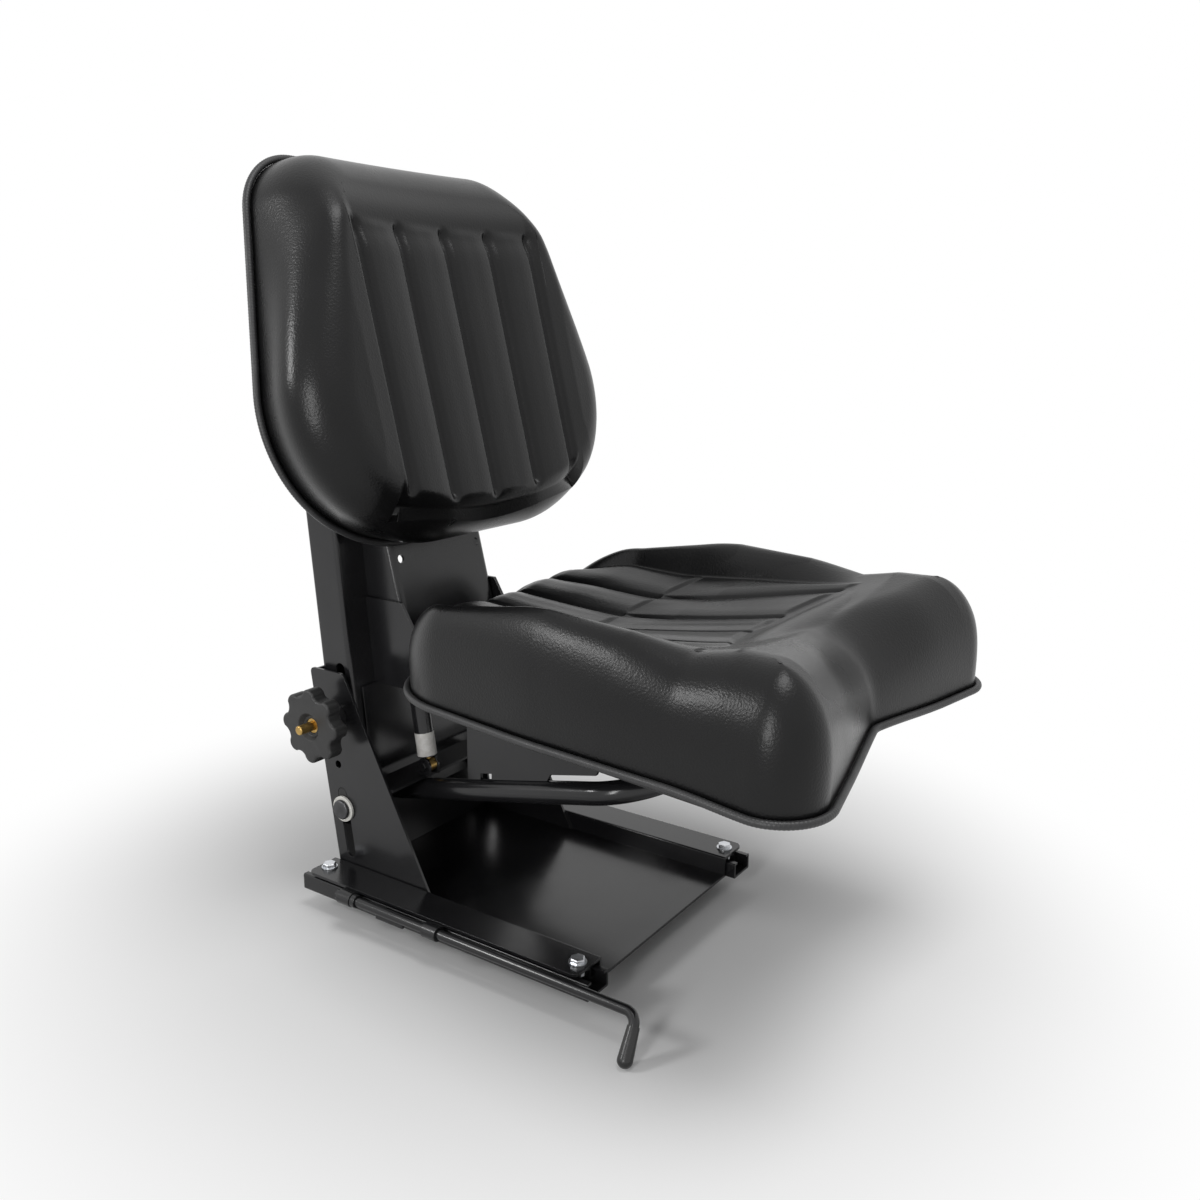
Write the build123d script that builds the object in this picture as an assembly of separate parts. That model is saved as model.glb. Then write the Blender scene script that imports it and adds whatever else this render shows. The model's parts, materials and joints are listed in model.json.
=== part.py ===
"""Tractor suspension seat on fore-aft slide rails.

Frame: X points the way the driver faces, Y to the driver's left, Z up.
The origin is the centre of the four rail mounting holes, on the underside
of the lower rails.  All values are millimetres and degrees.
"""
import os
from math import cos, radians, sin, tan

from build123d import *

# Slide rails
rail_track = 290.0            # spacing of the two rail centre lines
lower_rail_length = 380.0
rail_bend = 1.8
lower_rail_width = 35.0
lower_rail_height = 18.0
rail_wall = 2.5
rail_slot = 21.5              # open slot between the folded lips
upper_rail_inset = 3.5        # each end, behind the pan's end
upper_neck = 19.0             # outside width of the neck that rises through the slot
upper_flange_width = 27.5     # captured foot under the lips
upper_foot_z = 5.5            # underside of the captured foot
rail_stack = 22.0             # rail underside to the pan flange underside
mount_hole = 9.0
mount_inset = 30.0            # hole centre from each end of the lower rail
shoe_length = 34.0
shoe_inset = 61.0             # shoe centre from each end of the upper rail
shoe_clearance = 0.4
latch_pitch = 15.0
latch_window = 8.0
latch_window_height = 7.0
latch_count = 9

# Base pan
pan_length = 359.0
pan_overhang = 20.0           # flange edge outside the rail's centre line
pan_sheet = 3.0
pan_flange = 38.8
pan_depth = 21.0              # flange top to trough floor
pan_corner = 8.0
pan_bend = 2.4
pan_bolt = 8.0
pan_bolt_inset = 12.5         # bolt centre from each end of the pan
bolt_tail = 2.0               # shank past its nut
nut_across = 13.0
nut_height = 6.5
head_height = 5.5
head_chamfer = 0.8
bolt_flange = 17.5
bolt_flange_height = 1.6
bolt_clearance = 0.5          # hole over shank, on the diameter
thread_clearance = 0.1

# Tower
slide_lean = 8.2              # suspension travel leans back from vertical
travel = 48.0
plate_sheet = 3.0
tower_top_z = 243.0
tower_top_rear_x = -205.5
tower_top_front_x = -155.5
tower_front_slope = 0.518
tower_corner = 5.0
tower_back_top_z = 240.0
tower_back_gap = 1.5          # between the tower's back and the moving posts
guide_x = -162.5              # moving guide shaft at rest
guide_z = 88.0
guide_diameter = 12.0
guide_slot = 13.0
slot_over_top = 17.0          # free slot left above the shaft at rest
slot_below = 2.0              # free slot left below the shaft at the end of its travel
post_shaft_fit = 0.2          # hole over shaft, on the diameter
washer_diameter = 29.0
washer_sheet = 2.8
washer_gap = 0.4
cap_diameter = 22.0
cap_length = 4.2
cap_round = 2.0
spring_x = -163.5             # fixed spring shaft
spring_z = 195.0
spring_shaft_diameter = 12.0
shaft_collar_diameter = 22.0
shaft_collar_length = 16.0
shaft_tail = 9.0              # shaft past the tower on the nut's side
shaft_nut_across = 19.0
shaft_nut_height = 8.0
spare_hole = 8.5
spare_hole_x = -169.0
spare_hole_z = 138.0
shelf_z = 122.0               # underside of the damper shelf
shelf_rear_x = -128.0
shelf_front_x = -91.0

# Posts and back bracket
post_lean = 5.1
post_side_gap = 8.2           # tower plate to post
post_depth = 43.5
post_front_lip = 43.0
post_rear_lip = 18.0
post_sheet = 3.0
post_bottom_z = 62.0
post_top_z = 486.0
post_ref_z = 241.0
post_ref_rear_x = -198.5
post_bend = 5.0
post_slot = 13.0
post_slot_spare = 1.0
panel_inset = 12.0            # panel edge inside the post's outer face
panel_bottom_z = 82.0
panel_top_z = 282.0
panel_gap = 0.3               # to the arms beside it
back_lean = 14.0
back_ref_x = -124.5           # front face of the back plate at back_ref_z
back_ref_z = 364.0
bracket_overlap = 6.0         # bracket side outside the edge of the post's front lip
bracket_bottom_z = 285.0
bracket_top_z = 500.0
bracket_sheet = 3.0
bracket_bend = 8.0
spare_pair_y = 61.0
spare_pair_z = 362.0
back_bolt_y = 48.0
back_bolt_low = 78.0          # along the back plate from back_ref_z
back_bolt_high = 126.0

# Hoop and cradle
hoop_diameter = 24.0
hoop_wall = 2.5
hoop_inset = 12.0             # hoop leg inside the bracket's outer face
hoop_lean = 12.5
hoop_ref_x = -97.5
hoop_ref_z = 106.2
hoop_arc_x = 125.0
hoop_joint_x = -140.0         # about where the hoop meets the cross panel
cradle_sheet = 4.0
cradle_rear_x = -34.0
cradle_front_x = 150.0
cradle_notch = 7.0
cradle_nose = 40.0            # depth of the cradle plate's front end
notch_slant = 4.0
notch_rear = (-16.0, -1.0)
notch_front = (72.0, 132.0)
arm_sheet = 4.0
arm_height = 30.0
arm_rise = 34.0              # how far the arms climb the back bracket
arm_knee_x = 10.0
arm_front_x = 34.0
arm_top_rear_x = -70.0
arm_nose = 8.0
arm_lap = 4.0                 # arm end in front of the back plate's face
arm_slot_gap = 0.6

# Seat pan and cushion
seat_plane_z = 260.0          # height of the seat piping
seat_pan_sheet = 2.5
seat_pan_inset = 16.0
seat_pan_skirt = 12.0
seat_rear_x = -57.0
seat_rear_half = 169.0
seat_front_x = 431.2
seat_front_half = 228.1
seat_waist_x = 379.3
seat_rear_radius = 108.0
seat_front_radius = 48.0
seat_waist_radius = 45.0
seat_cushion_height = 102.5
seat_edge_radius = 30.0
seat_bolt_x = (62.0, 125.0)
seat_bolt_offset = 17.0       # outwards from the hoop legs
seat_bolt_length = 14.0
bolt_pocket = 26.0            # depth of the pocket over a bolt in the foam
dish_half = 192.0             # half width of the seat's dish at its rim
# Seat dish, rear to front: (x, centre height, rim height) over the seat plane
dish_stations = ((-75.0, 34.0, 62.0), (-30.0, 61.0, 82.0), (110.0, 54.0, 99.0),
                 (288.0, 79.0, 98.0), (470.0, 86.0, 92.0))
pleat_depth = 6.0
pleat_width = 9.0
pleat_band = (104.0, 118.0)   # flat band across the seat, between the two rows of pleats
pleat_inner = (29.0, 33.0, 272.0)   # y at the band, y in front, front end
pleat_outer = (87.0, 116.0, 298.0)
piping_diameter = 7.0
piping_gap = 0.1
pan_gap = 0.2

# Back shell and cushion
shell_thickness = 10.0
shell_inset = 7.0
back_low_s = 19.4
back_low_half = 104.6
back_wide_s = 88.1
back_wide_half = 227.2
back_top_s = 405.1
back_top_half = 161.5
back_low_radius = 150.0
back_wide_radius = 128.0
back_top_radius = 66.0
back_foot_depth = 96.0        # cushion thickness over the shell at the foot
back_head_depth = 92.0        # and where the head begins to round over
back_head_radius = 80.0
back_edge_radius = 38.0
back_bolt_pocket = 24.0
back_bolt_length = 22.0
rib_grooves = (0.0, 67.0, 128.0)    # y of the grooves, each side
rib_groove_depth = 6.0
rib_groove_width = 9.0
rib_low_s = 48.0
rib_high_s = 326.0
rib_bow = 8.0                 # hollow of the ribbed front across its width
rib_bow_half = 140.0

# Springs
spring_y = 42.0
spring_wire = 4.0
spring_radius = 9.0
spring_turns = 7
spring_eye_clearance = 0.5
spring_leg = 20.0             # shaft centre to the first coil

# Damper
damper_y = -60.0
damper_foot_x = -94.5
damper_foot_z = 134.5
damper_body_diameter = 21.0
damper_body_start = 10.0      # from the foot eye centre along the axis
damper_body_length = 67.0
damper_body_round = 1.5
damper_bore_spare = 8.0       # bore left below the rod at full drop
damper_rod_spare = 2.0
damper_stem = 7.0
damper_band_height = 26.0
damper_band_sheet = 0.6
damper_band_lift = 1.5
damper_band_proud = 0.3       # on the diameter
lug_margin = 1.0
pin_head = 10.0
pin_head_height = 3.5
pin_lock_height = 2.0
damper_rod_diameter = 8.0
damper_eye = 16.0
damper_eye_width = 10.0
damper_eye_gap = 0.6
damper_pin = 6.0
damper_length = 142.0         # eye to eye with the seat at its top stop
running_fit = 0.05            # radial

# Adjuster knob
knob_diameter = 81.0
knob_thickness = 18.0
knob_lobes = 8
knob_lobe_radius = 9.5
knob_scallop_radius = 11.0
knob_scallop_out = 4.0
knob_waist = 5.0              # body circle inside the lobes
knob_round = 3.0
knob_dish_depth = 5.0
knob_dish_radii = (11.0, 15.0)
knob_hub = 34.0
knob_hub_length = 9.0
insert_radius = 8.0
insert_short = 6.0            # insert below the knob's front face
stud_diameter = 10.0
stud_length = 41.0
stud_chamfer = 1.0
knob_face_gap = 0.4

# Slide lever
lever_out = 7.0               # rod centre outside the pan's edge
lever_z = 17.0
lever_diameter = 10.0
lever_rear_x = -126.0
lever_bend_x = 250.0
lever_bend_radius = 12.0
grip_reach = (3.0, -23.0, -32.0)    # grip end from the corner of the rod
grip_diameter = 14.5
grip_length = 36.0
grip_wall = 0.8               # at its mouth
clip_wall = 2.7
clip_length = 18.0
clip_x = (-112.0, 8.0)
latch_x = -52.0
latch_gap = 0.7
collar_width = 6.0
collar_wall = 2.0
collar_gap = 0.5
comb_low_z = 6.0
comb_sheet = 2.5
comb_rod_overlap = 2.5
tooth_low_z = 7.0
tooth_high_z = 12.0
tooth_play = 1.0
strap_gap = 0.6
spacer_diameter = 24.0
spacer_gap = 0.4
cut_reach = 12.0              # how far a bore's cutter runs past its wall

os.makedirs("parts", exist_ok=True)
rail_y = rail_track / 2
mount_x = lower_rail_length / 2 - mount_inset
pan_width = rail_track + 2 * pan_overhang
pan_bolt_x = pan_length / 2 - pan_bolt_inset
upper_rail_length = pan_length - 2 * upper_rail_inset
trough_half = pan_width / 2 - pan_flange - pan_sheet
tower_inner = trough_half - plate_sheet
post_outer = tower_inner - post_side_gap
panel_half = post_outer - panel_inset
bracket_half = post_outer - post_front_lip + bracket_overlap
hoop_leg_y = bracket_half - hoop_inset
lever_y = -pan_width / 2 - lever_out
flange_top_z = rail_stack + pan_sheet
floor_top_z = flange_top_z - pan_depth


def save(solid, name):
    """Write one node."""
    solid.label = name
    export_step(solid, os.path.join("parts", name + ".step"))


def side_plane(y):
    """Drawing plane facing the driver's right: local x is X, local y is Z."""
    return Plane(origin=(0, y, 0), x_dir=(1, 0, 0), z_dir=(0, -1, 0))


def side_plate(points, y_outer, sheet, radius=0.0):
    """Flat plate in an XZ outline, from y_outer down to y_outer - sheet."""
    face = make_face(Polyline(*points, close=True))
    if radius > 0:
        face = fillet(face.vertices(), radius)
    return extrude(side_plane(y_outer) * face, sheet)


def bar(start, end, diameter):
    """Round bar between two points."""
    axis = Vector(*end) - Vector(*start)
    plane = Plane(origin=start, z_dir=axis)
    return plane * Cylinder(diameter / 2, axis.length, align=(Align.CENTER, Align.CENTER, Align.MIN))


def cross_bore(x, y, z, diameter):
    """Round cutter across a wall that stands at y."""
    return bar((x, y - cut_reach, z), (x, y + cut_reach, z), diameter)


def block(x0, x1, y0, y1, z0, z1):
    """Box between two corners."""
    size = Box(x1 - x0, y1 - y0, z1 - z0, align=(Align.MIN, Align.MIN, Align.MIN))
    return Pos(x0, y0, z0) * size


def slide_shift(distance):
    """Offset of the moving seat frame when it drops by distance."""
    return (distance * sin(radians(slide_lean)), -distance * cos(radians(slide_lean)))


def slot_cut(x, z, up, down, width, y_centre, depth):
    """Slot along the suspension travel, cut across Y."""
    dx_up, dz_up = slide_shift(-up)
    dx_down, dz_down = slide_shift(down)
    start = Vector(x + dx_up, y_centre, z + dz_up)
    end = Vector(x + dx_down, y_centre, z + dz_down)
    middle = (start + end) * 0.5
    shape = SlotCenterToCenter((start - end).length, width)
    plane = Plane(origin=middle, x_dir=(start - end).normalized(), z_dir=(0, 1, 0))
    return extrude(plane * shape, depth / 2, both=True)


# Slide rails
def rail_section(outline):
    """Extrude a YZ outline along X, centred."""
    face = make_face(Polyline(*outline, close=True))
    plane = Plane(origin=(0, 0, 0), x_dir=(0, 1, 0), z_dir=(1, 0, 0))
    return plane * face


def lower_rail():
    """Channel of one lower rail with its mounting holes, lips turned inwards above."""
    half = lower_rail_width / 2
    lip = rail_slot / 2
    points = [(-half, 0), (half, 0), (half, lower_rail_height), (lip, lower_rail_height),
              (lip, lower_rail_height - rail_wall), (half - rail_wall, lower_rail_height - rail_wall),
              (half - rail_wall, rail_wall), (-half + rail_wall, rail_wall),
              (-half + rail_wall, lower_rail_height - rail_wall), (-lip, lower_rail_height - rail_wall),
              (-lip, lower_rail_height), (-half, lower_rail_height)]
    rail = extrude(rail_section(points), lower_rail_length / 2, both=True)
    long_edges = rail.edges().filter_by(Axis.X)
    outer = [e for e in long_edges if abs(abs(e.center().Y) - half) < 0.01]
    rail = fillet(outer, rail_bend)
    for x in (-mount_x, mount_x):
        rail -= Pos(x, 0, 0) * Cylinder(mount_hole / 2, 4 * rail_wall)
    return rail


def latch_windows(outer_y):
    """Row of latch windows through the outside wall of the driver's right rail."""
    first = latch_x - latch_pitch * (latch_count - 1) / 2
    cuts = None
    for i in range(latch_count):
        window = Box(latch_window, 4 * rail_wall, latch_window_height)
        hole = Pos(first + i * latch_pitch, outer_y, (tooth_low_z + tooth_high_z) / 2) * window
        cuts = hole if cuts is None else cuts + hole
    return cuts


def upper_rail():
    """Section of one upper rail, carried inside the lower one, run over its length."""
    neck = upper_neck / 2
    foot = upper_flange_width / 2
    top = rail_stack
    inner = neck - rail_wall
    points = [(-foot, upper_foot_z), (-inner, upper_foot_z), (-inner, top - rail_wall), (inner, top - rail_wall),
              (inner, upper_foot_z), (foot, upper_foot_z), (foot, upper_foot_z + rail_wall),
              (neck, upper_foot_z + rail_wall), (neck, top), (-neck, top),
              (-neck, upper_foot_z + rail_wall), (-foot, upper_foot_z + rail_wall)]
    rail = extrude(rail_section(points), upper_rail_length / 2, both=True)
    for x in (-pan_bolt_x, pan_bolt_x):
        rail -= Pos(x, 0, top) * Cylinder((pan_bolt + bolt_clearance) / 2, 4 * rail_wall)
    return rail


def shoe_pair(y):
    """Guide shoes wrapped round the upper rail's foot, near both ends."""
    half = lower_rail_width / 2 - rail_wall - shoe_clearance
    bottom = rail_wall + shoe_clearance
    top = lower_rail_height - rail_wall - shoe_clearance
    neck = upper_neck / 2
    foot = upper_flange_width / 2
    shoes = []
    shoe_x = upper_rail_length / 2 - shoe_inset
    for x in (-shoe_x, shoe_x):
        body = Pos(x, 0, (bottom + top) / 2) * Box(shoe_length, 2 * half, top - bottom)
        body -= Pos(x, 0, top) * Box(2 * shoe_length, 2 * neck, 2 * (top - upper_foot_z))
        body -= Pos(x, 0, upper_foot_z + rail_wall / 2) * Box(2 * shoe_length, 2 * foot, rail_wall)
        shoes.append(Pos(0, y, 0) * body)
    return Compound(children=[s for shoe in shoes for s in shoe.solids()])


lower = lower_rail()
right_rail = Pos(0, -rail_y, 0) * lower
right_rail -= latch_windows(-rail_y - lower_rail_width / 2 + rail_wall / 2)
save(Pos(0, rail_y, 0) * lower, "lower_rail_left")
save(right_rail, "lower_rail_right")
save(Pos(0, rail_y, 0) * upper_rail(), "upper_rail_left")
save(Pos(0, -rail_y, 0) * upper_rail(), "upper_rail_right")
save(shoe_pair(rail_y), "slide_shoes_left")
save(shoe_pair(-rail_y), "slide_shoes_right")

# Base pan
half_w = pan_width / 2
wall_y = half_w - pan_flange
under = flange_top_z - pan_sheet
floor_under = floor_top_z - pan_sheet
pan_outline = [(-half_w, under), (-wall_y, under), (-wall_y, floor_under), (wall_y, floor_under),
               (wall_y, under), (half_w, under), (half_w, flange_top_z), (wall_y - pan_sheet, flange_top_z),
               (wall_y - pan_sheet, floor_top_z), (-wall_y + pan_sheet, floor_top_z),
               (-wall_y + pan_sheet, flange_top_z), (-half_w, flange_top_z)]
pan = extrude(rail_section(pan_outline), pan_length / 2, both=True)
corners = [e for e in pan.edges().filter_by(Axis.Z)
           if abs(abs(e.center().Y) - half_w) < 0.01 and abs(abs(e.center().X) - pan_length / 2) < 0.01]
pan = fillet(corners, pan_corner)
bends = [e for e in pan.edges().filter_by(Axis.X)
         if abs(abs(e.center().Y) - wall_y + pan_sheet) < 0.01 and abs(e.center().Z - flange_top_z) < 0.01]
pan = fillet(bends, pan_bend)
for sx in (-1, 1):
    for sy in (-1, 1):
        pan -= Pos(sx * pan_bolt_x, sy * rail_y, under) * Cylinder((pan_bolt + bolt_clearance) / 2, 4 * pan_sheet)
save(pan, "base_pan")


def flange_bolt(shank, length, head=nut_across, flange=bolt_flange):
    """Flanged hexagon bolt, seating face at z = 0, shank downwards."""
    flange_part = Cylinder(flange / 2, bolt_flange_height, align=(Align.CENTER, Align.CENTER, Align.MIN))
    hexagon = extrude(RegularPolygon(head / 2, 6, major_radius=False), head_height)
    hexagon = chamfer(hexagon.edges().group_by(Axis.Z)[-1], head_chamfer)
    body = Cylinder(shank / 2, length, align=(Align.CENTER, Align.CENTER, Align.MAX))
    return flange_part + hexagon + body


def hex_nut(bore, across, height):
    """Hexagon nut with its seating face at z = 0, body downwards."""
    nut = extrude(RegularPolygon(across / 2, 6, major_radius=False), -height)
    return nut - Cylinder(bore / 2 + thread_clearance / 2, 4 * height)


bolts = []
nuts = []
bolt_length = pan_sheet + rail_wall + nut_height + bolt_tail
for sx in (-1, 1):
    for sy in (-1, 1):
        bolts.append(Pos(sx * pan_bolt_x, sy * rail_y, flange_top_z) * flange_bolt(pan_bolt, bolt_length))
        nut_place = Pos(sx * pan_bolt_x, sy * rail_y, rail_stack - rail_wall)
        nuts.append(nut_place * hex_nut(pan_bolt, nut_across, nut_height))
save(Compound(children=bolts), "pan_bolts")
save(Compound(children=nuts), "pan_nuts")

# Tower
tower_rise = tower_top_z - floor_top_z
rear_bottom_x = tower_top_rear_x + tower_rise * tan(radians(slide_lean))
front_bottom_x = tower_top_front_x + tower_rise * tower_front_slope
tower_outline = [(rear_bottom_x, floor_top_z), (front_bottom_x, floor_top_z),
                 (tower_top_front_x, tower_top_z), (tower_top_rear_x, tower_top_z)]


def tower_plate(y_outer):
    """Side plate standing in the trough, welded against its wall."""
    plate = side_plate(tower_outline, y_outer, plate_sheet)
    tops = [e for e in plate.edges().filter_by(Axis.Y) if e.center().Z > tower_top_z - 1]
    plate = fillet(tops, tower_corner)
    y_mid = y_outer - plate_sheet / 2
    plate -= slot_cut(guide_x, guide_z, slot_over_top, travel + slot_below, guide_slot, y_mid, 4 * plate_sheet)
    plate -= cross_bore(spring_x, y_mid, spring_z, spring_shaft_diameter + bolt_clearance)
    plate -= cross_bore(spare_hole_x, y_mid, spare_hole_z, spare_hole)
    return plate


save(tower_plate(trough_half), "tower_plate_left")
save(tower_plate(-trough_half + plate_sheet), "tower_plate_right")


def tower_rear_x(z):
    """Rear edge of the tower plates at height z."""
    return tower_top_rear_x + (tower_top_z - z) * tan(radians(slide_lean))


# The tower's back lies along the rear edges of its plates, parallel to the travel.
back_sheet_x = plate_sheet / cos(radians(slide_lean))
tower_back_side = [(tower_rear_x(floor_top_z), floor_top_z), (tower_rear_x(floor_top_z) + back_sheet_x, floor_top_z),
                   (tower_rear_x(tower_back_top_z) + back_sheet_x, tower_back_top_z),
                   (tower_rear_x(tower_back_top_z), tower_back_top_z)]
save(side_plate(tower_back_side, tower_inner, 2 * tower_inner), "tower_back")

shelf_outline = [(shelf_rear_x, -tower_inner), (shelf_front_x, -tower_inner),
                 (shelf_front_x, tower_inner), (shelf_rear_x, tower_inner)]
shelf = extrude(Plane.XY.offset(shelf_z) * make_face(Polyline(*shelf_outline, close=True)), plate_sheet)
shelf_top_z = shelf_z + plate_sheet
lug_half = damper_eye_width / 2
for side in (-1, 1):
    y_outer = damper_y + side * (lug_half + plate_sheet / 2) + plate_sheet / 2
    r = damper_eye / 2 + lug_margin
    lug_face = make_face(Polyline((damper_foot_x - r, shelf_top_z - 1), (damper_foot_x + r, shelf_top_z - 1),
                                  (damper_foot_x + r, damper_foot_z), (damper_foot_x - r, damper_foot_z), close=True))
    lug = extrude(side_plane(y_outer) * lug_face, plate_sheet)
    lug += bar((damper_foot_x, y_outer, damper_foot_z), (damper_foot_x, y_outer - plate_sheet, damper_foot_z), 2 * r)
    shelf += lug
shelf -= cross_bore(damper_foot_x, damper_y, damper_foot_z, damper_pin + 2 * running_fit)
save(shelf, "damper_shelf")

# Fixed spring shaft with its end nut; the brass stud carries the star knob.
outer_face = trough_half
stud_start_y = -outer_face - shaft_collar_length
stud_end_y = stud_start_y - stud_length
shaft_end_y = outer_face + shaft_tail
spring_shaft = bar((spring_x, stud_start_y, spring_z), (spring_x, shaft_end_y, spring_z), spring_shaft_diameter)
collar = bar((spring_x, -outer_face, spring_z), (spring_x, stud_start_y, spring_z), shaft_collar_diameter)
save(spring_shaft + collar, "spring_shaft")
nut_plane = Plane(origin=(spring_x, outer_face, spring_z), z_dir=(0, -1, 0))
shaft_nut = nut_plane * hex_nut(spring_shaft_diameter, shaft_nut_across, shaft_nut_height)
save(shaft_nut, "spring_shaft_nut")
stud = bar((spring_x, stud_start_y, spring_z), (spring_x, stud_end_y, spring_z), stud_diameter)
stud = chamfer(stud.edges().group_by(Axis.Y)[0], stud_chamfer)
save(stud, "adjuster_stud")

# Star knob
knob_back_y = stud_start_y - knob_face_gap
lobe_ring = knob_diameter / 2 - knob_lobe_radius
star = Circle(knob_diameter / 2 - knob_waist)
for i in range(knob_lobes):
    angle = 360.0 / knob_lobes * i
    star += Rot(0, 0, angle) * Pos(lobe_ring, 0) * Circle(knob_lobe_radius)
    scallop = Pos(knob_diameter / 2 + knob_scallop_out, 0) * Circle(knob_scallop_radius)
    star -= Rot(0, 0, angle + 180.0 / knob_lobes) * scallop
knob_plane = Plane(origin=(spring_x, knob_back_y, spring_z), x_dir=(1, 0, 0), z_dir=(0, -1, 0))
knob = extrude(Pos(0, 0, knob_hub_length) * star, knob_thickness)
rims = knob.edges().group_by(Axis.Z)
knob = fillet(rims[-1] + rims[0], knob_round)
knob += Cylinder(knob_hub / 2, knob_hub_length + 1, align=(Align.CENTER, Align.CENTER, Align.MIN))
dish = Cone(knob_dish_radii[0], knob_dish_radii[1], knob_dish_depth, align=(Align.CENTER, Align.CENTER, Align.MAX))
knob -= Pos(0, 0, knob_hub_length + knob_thickness) * dish
knob -= Cylinder(insert_radius, 4 * knob_thickness, align=(Align.CENTER, Align.CENTER, Align.CENTER))
save(knob_plane * knob, "star_knob")
insert_length = knob_hub_length + knob_thickness - insert_short
insert = Cylinder(insert_radius, insert_length, align=(Align.CENTER, Align.CENTER, Align.MIN))
insert -= Cylinder(stud_diameter / 2 + running_fit, 4 * insert_length)
save(knob_plane * insert, "knob_insert")

# Seat frame: posts
post_rise = tan(radians(post_lean))


def post_rear_x(z):
    """Rear face of the posts at height z."""
    return post_ref_rear_x - (z - post_ref_z) * post_rise


def post_front_x(z):
    """Front edge of the posts at height z."""
    return post_rear_x(z) + post_depth / cos(radians(post_lean))


def tower_back_room():
    """Space behind the moving posts that the tower's back and its clearance take up."""
    front = back_sheet_x + tower_back_gap
    side = [(tower_rear_x(0.0) + front, 0.0), (tower_rear_x(tower_top_z) + front, tower_top_z),
            (tower_rear_x(tower_top_z) - post_depth, tower_top_z), (tower_rear_x(0.0) - post_depth, 0.0)]
    return side_plate(side, post_outer + 1, 2 * post_outer + 2)


def post(side):
    """Lipped channel, open towards the seat's middle."""
    length = (post_top_z - post_bottom_z) / cos(radians(post_lean))
    outer = post_outer
    inner = outer - post_sheet
    points = [(0, outer), (post_depth, outer), (post_depth, outer - post_front_lip),
              (post_depth - post_sheet, outer - post_front_lip), (post_depth - post_sheet, inner),
              (post_sheet, inner), (post_sheet, outer - post_rear_lip), (0, outer - post_rear_lip)]
    face = make_face(Polyline(*points, close=True))
    channel = extrude(face, length)
    sharp = [e for e in channel.edges().filter_by(Axis.Z) if abs(e.center().Y - outer) < 0.01]
    channel = fillet(sharp, post_bend)
    if side < 0:
        channel = mirror(channel, about=Plane.XZ)
    placed = Pos(post_rear_x(post_bottom_z), 0, post_bottom_z) * Rot(0, -post_lean, 0) * channel
    y_mid = side * (outer - post_sheet / 2)
    placed -= slot_cut(spring_x, spring_z, travel + post_slot_spare, post_slot_spare, post_slot, y_mid, 4 * post_sheet)
    placed -= cross_bore(guide_x, y_mid, guide_z, guide_diameter + post_shaft_fit)
    return placed - tower_back_room()


save(post(1), "post_left")
save(post(-1), "post_right")

# Back bracket
back_rise = tan(radians(back_lean))


def back_x(z):
    """Front face of the back plate at height z."""
    return back_ref_x - (z - back_ref_z) * back_rise


bracket_side = [(post_front_x(bracket_bottom_z), bracket_bottom_z), (back_x(bracket_bottom_z), bracket_bottom_z),
                (back_x(bracket_top_z), bracket_top_z), (post_front_x(bracket_top_z), bracket_top_z)]
bracket = side_plate(bracket_side, bracket_half, 2 * bracket_half)
slant = [e for e in bracket.edges() if abs(abs(e.center().Y) - bracket_half) < 0.01 and
         abs(e.center().X - back_x(e.center().Z)) < 0.5 and e.length > 100]
bracket = fillet(slant, bracket_bend)
sheet_x = bracket_sheet / cos(radians(back_lean))
void_bottom = bracket_bottom_z + bracket_sheet
void_top = bracket_top_z + post_depth
void_side = [(post_rear_x(void_bottom), void_bottom), (back_x(void_bottom) - sheet_x, void_bottom),
             (back_x(void_top) - sheet_x, void_top), (post_rear_x(bracket_top_z), void_top)]
bracket -= side_plate(void_side, bracket_half - bracket_sheet, 2 * (bracket_half - bracket_sheet))
back_normal = Vector(cos(radians(back_lean)), 0, sin(radians(back_lean)))
back_up = Vector(-sin(radians(back_lean)), 0, cos(radians(back_lean)))


def on_back(y, s, out=0.0):
    """Point on the back plate's front face: y across, s up along it, out in front."""
    base = Vector(back_ref_x, y, back_ref_z) + back_up * s + back_normal * out
    return (base.X, base.Y, base.Z)


spare_s = (spare_pair_z - back_ref_z) / cos(radians(back_lean))
for sy in (-1, 1):
    spare_start = on_back(sy * spare_pair_y, spare_s, -cut_reach)
    bracket -= bar(spare_start, on_back(sy * spare_pair_y, spare_s, cut_reach), mount_hole)
    for s in (back_bolt_low, back_bolt_high):
        bolt_start = on_back(sy * back_bolt_y, s, -cut_reach)
        bracket -= bar(bolt_start, on_back(sy * back_bolt_y, s, cut_reach), pan_bolt + bolt_clearance)

# Damper axis: the rod end hangs from the bottom of the back bracket.
damper_dir = Vector(-sin(radians(slide_lean)), 0, cos(radians(slide_lean)))
damper_foot = Vector(damper_foot_x, damper_y, damper_foot_z)
damper_head = damper_foot + damper_dir * damper_length
for side in (-1, 1):
    y_outer = damper_y + side * (lug_half + plate_sheet / 2) + plate_sheet / 2
    r = damper_eye / 2 + lug_margin
    ear = side_plate([(damper_head.X - r, damper_head.Z), (damper_head.X + r, damper_head.Z),
                      (damper_head.X + r, bracket_bottom_z + 1), (damper_head.X - r, bracket_bottom_z + 1)],
                     y_outer, plate_sheet)
    ear += bar((damper_head.X, y_outer, damper_head.Z), (damper_head.X, y_outer - plate_sheet, damper_head.Z), 2 * r)
    bracket += ear
bracket -= cross_bore(damper_head.X, damper_y, damper_head.Z, damper_pin + 2 * running_fit)
save(bracket, "back_bracket")

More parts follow.
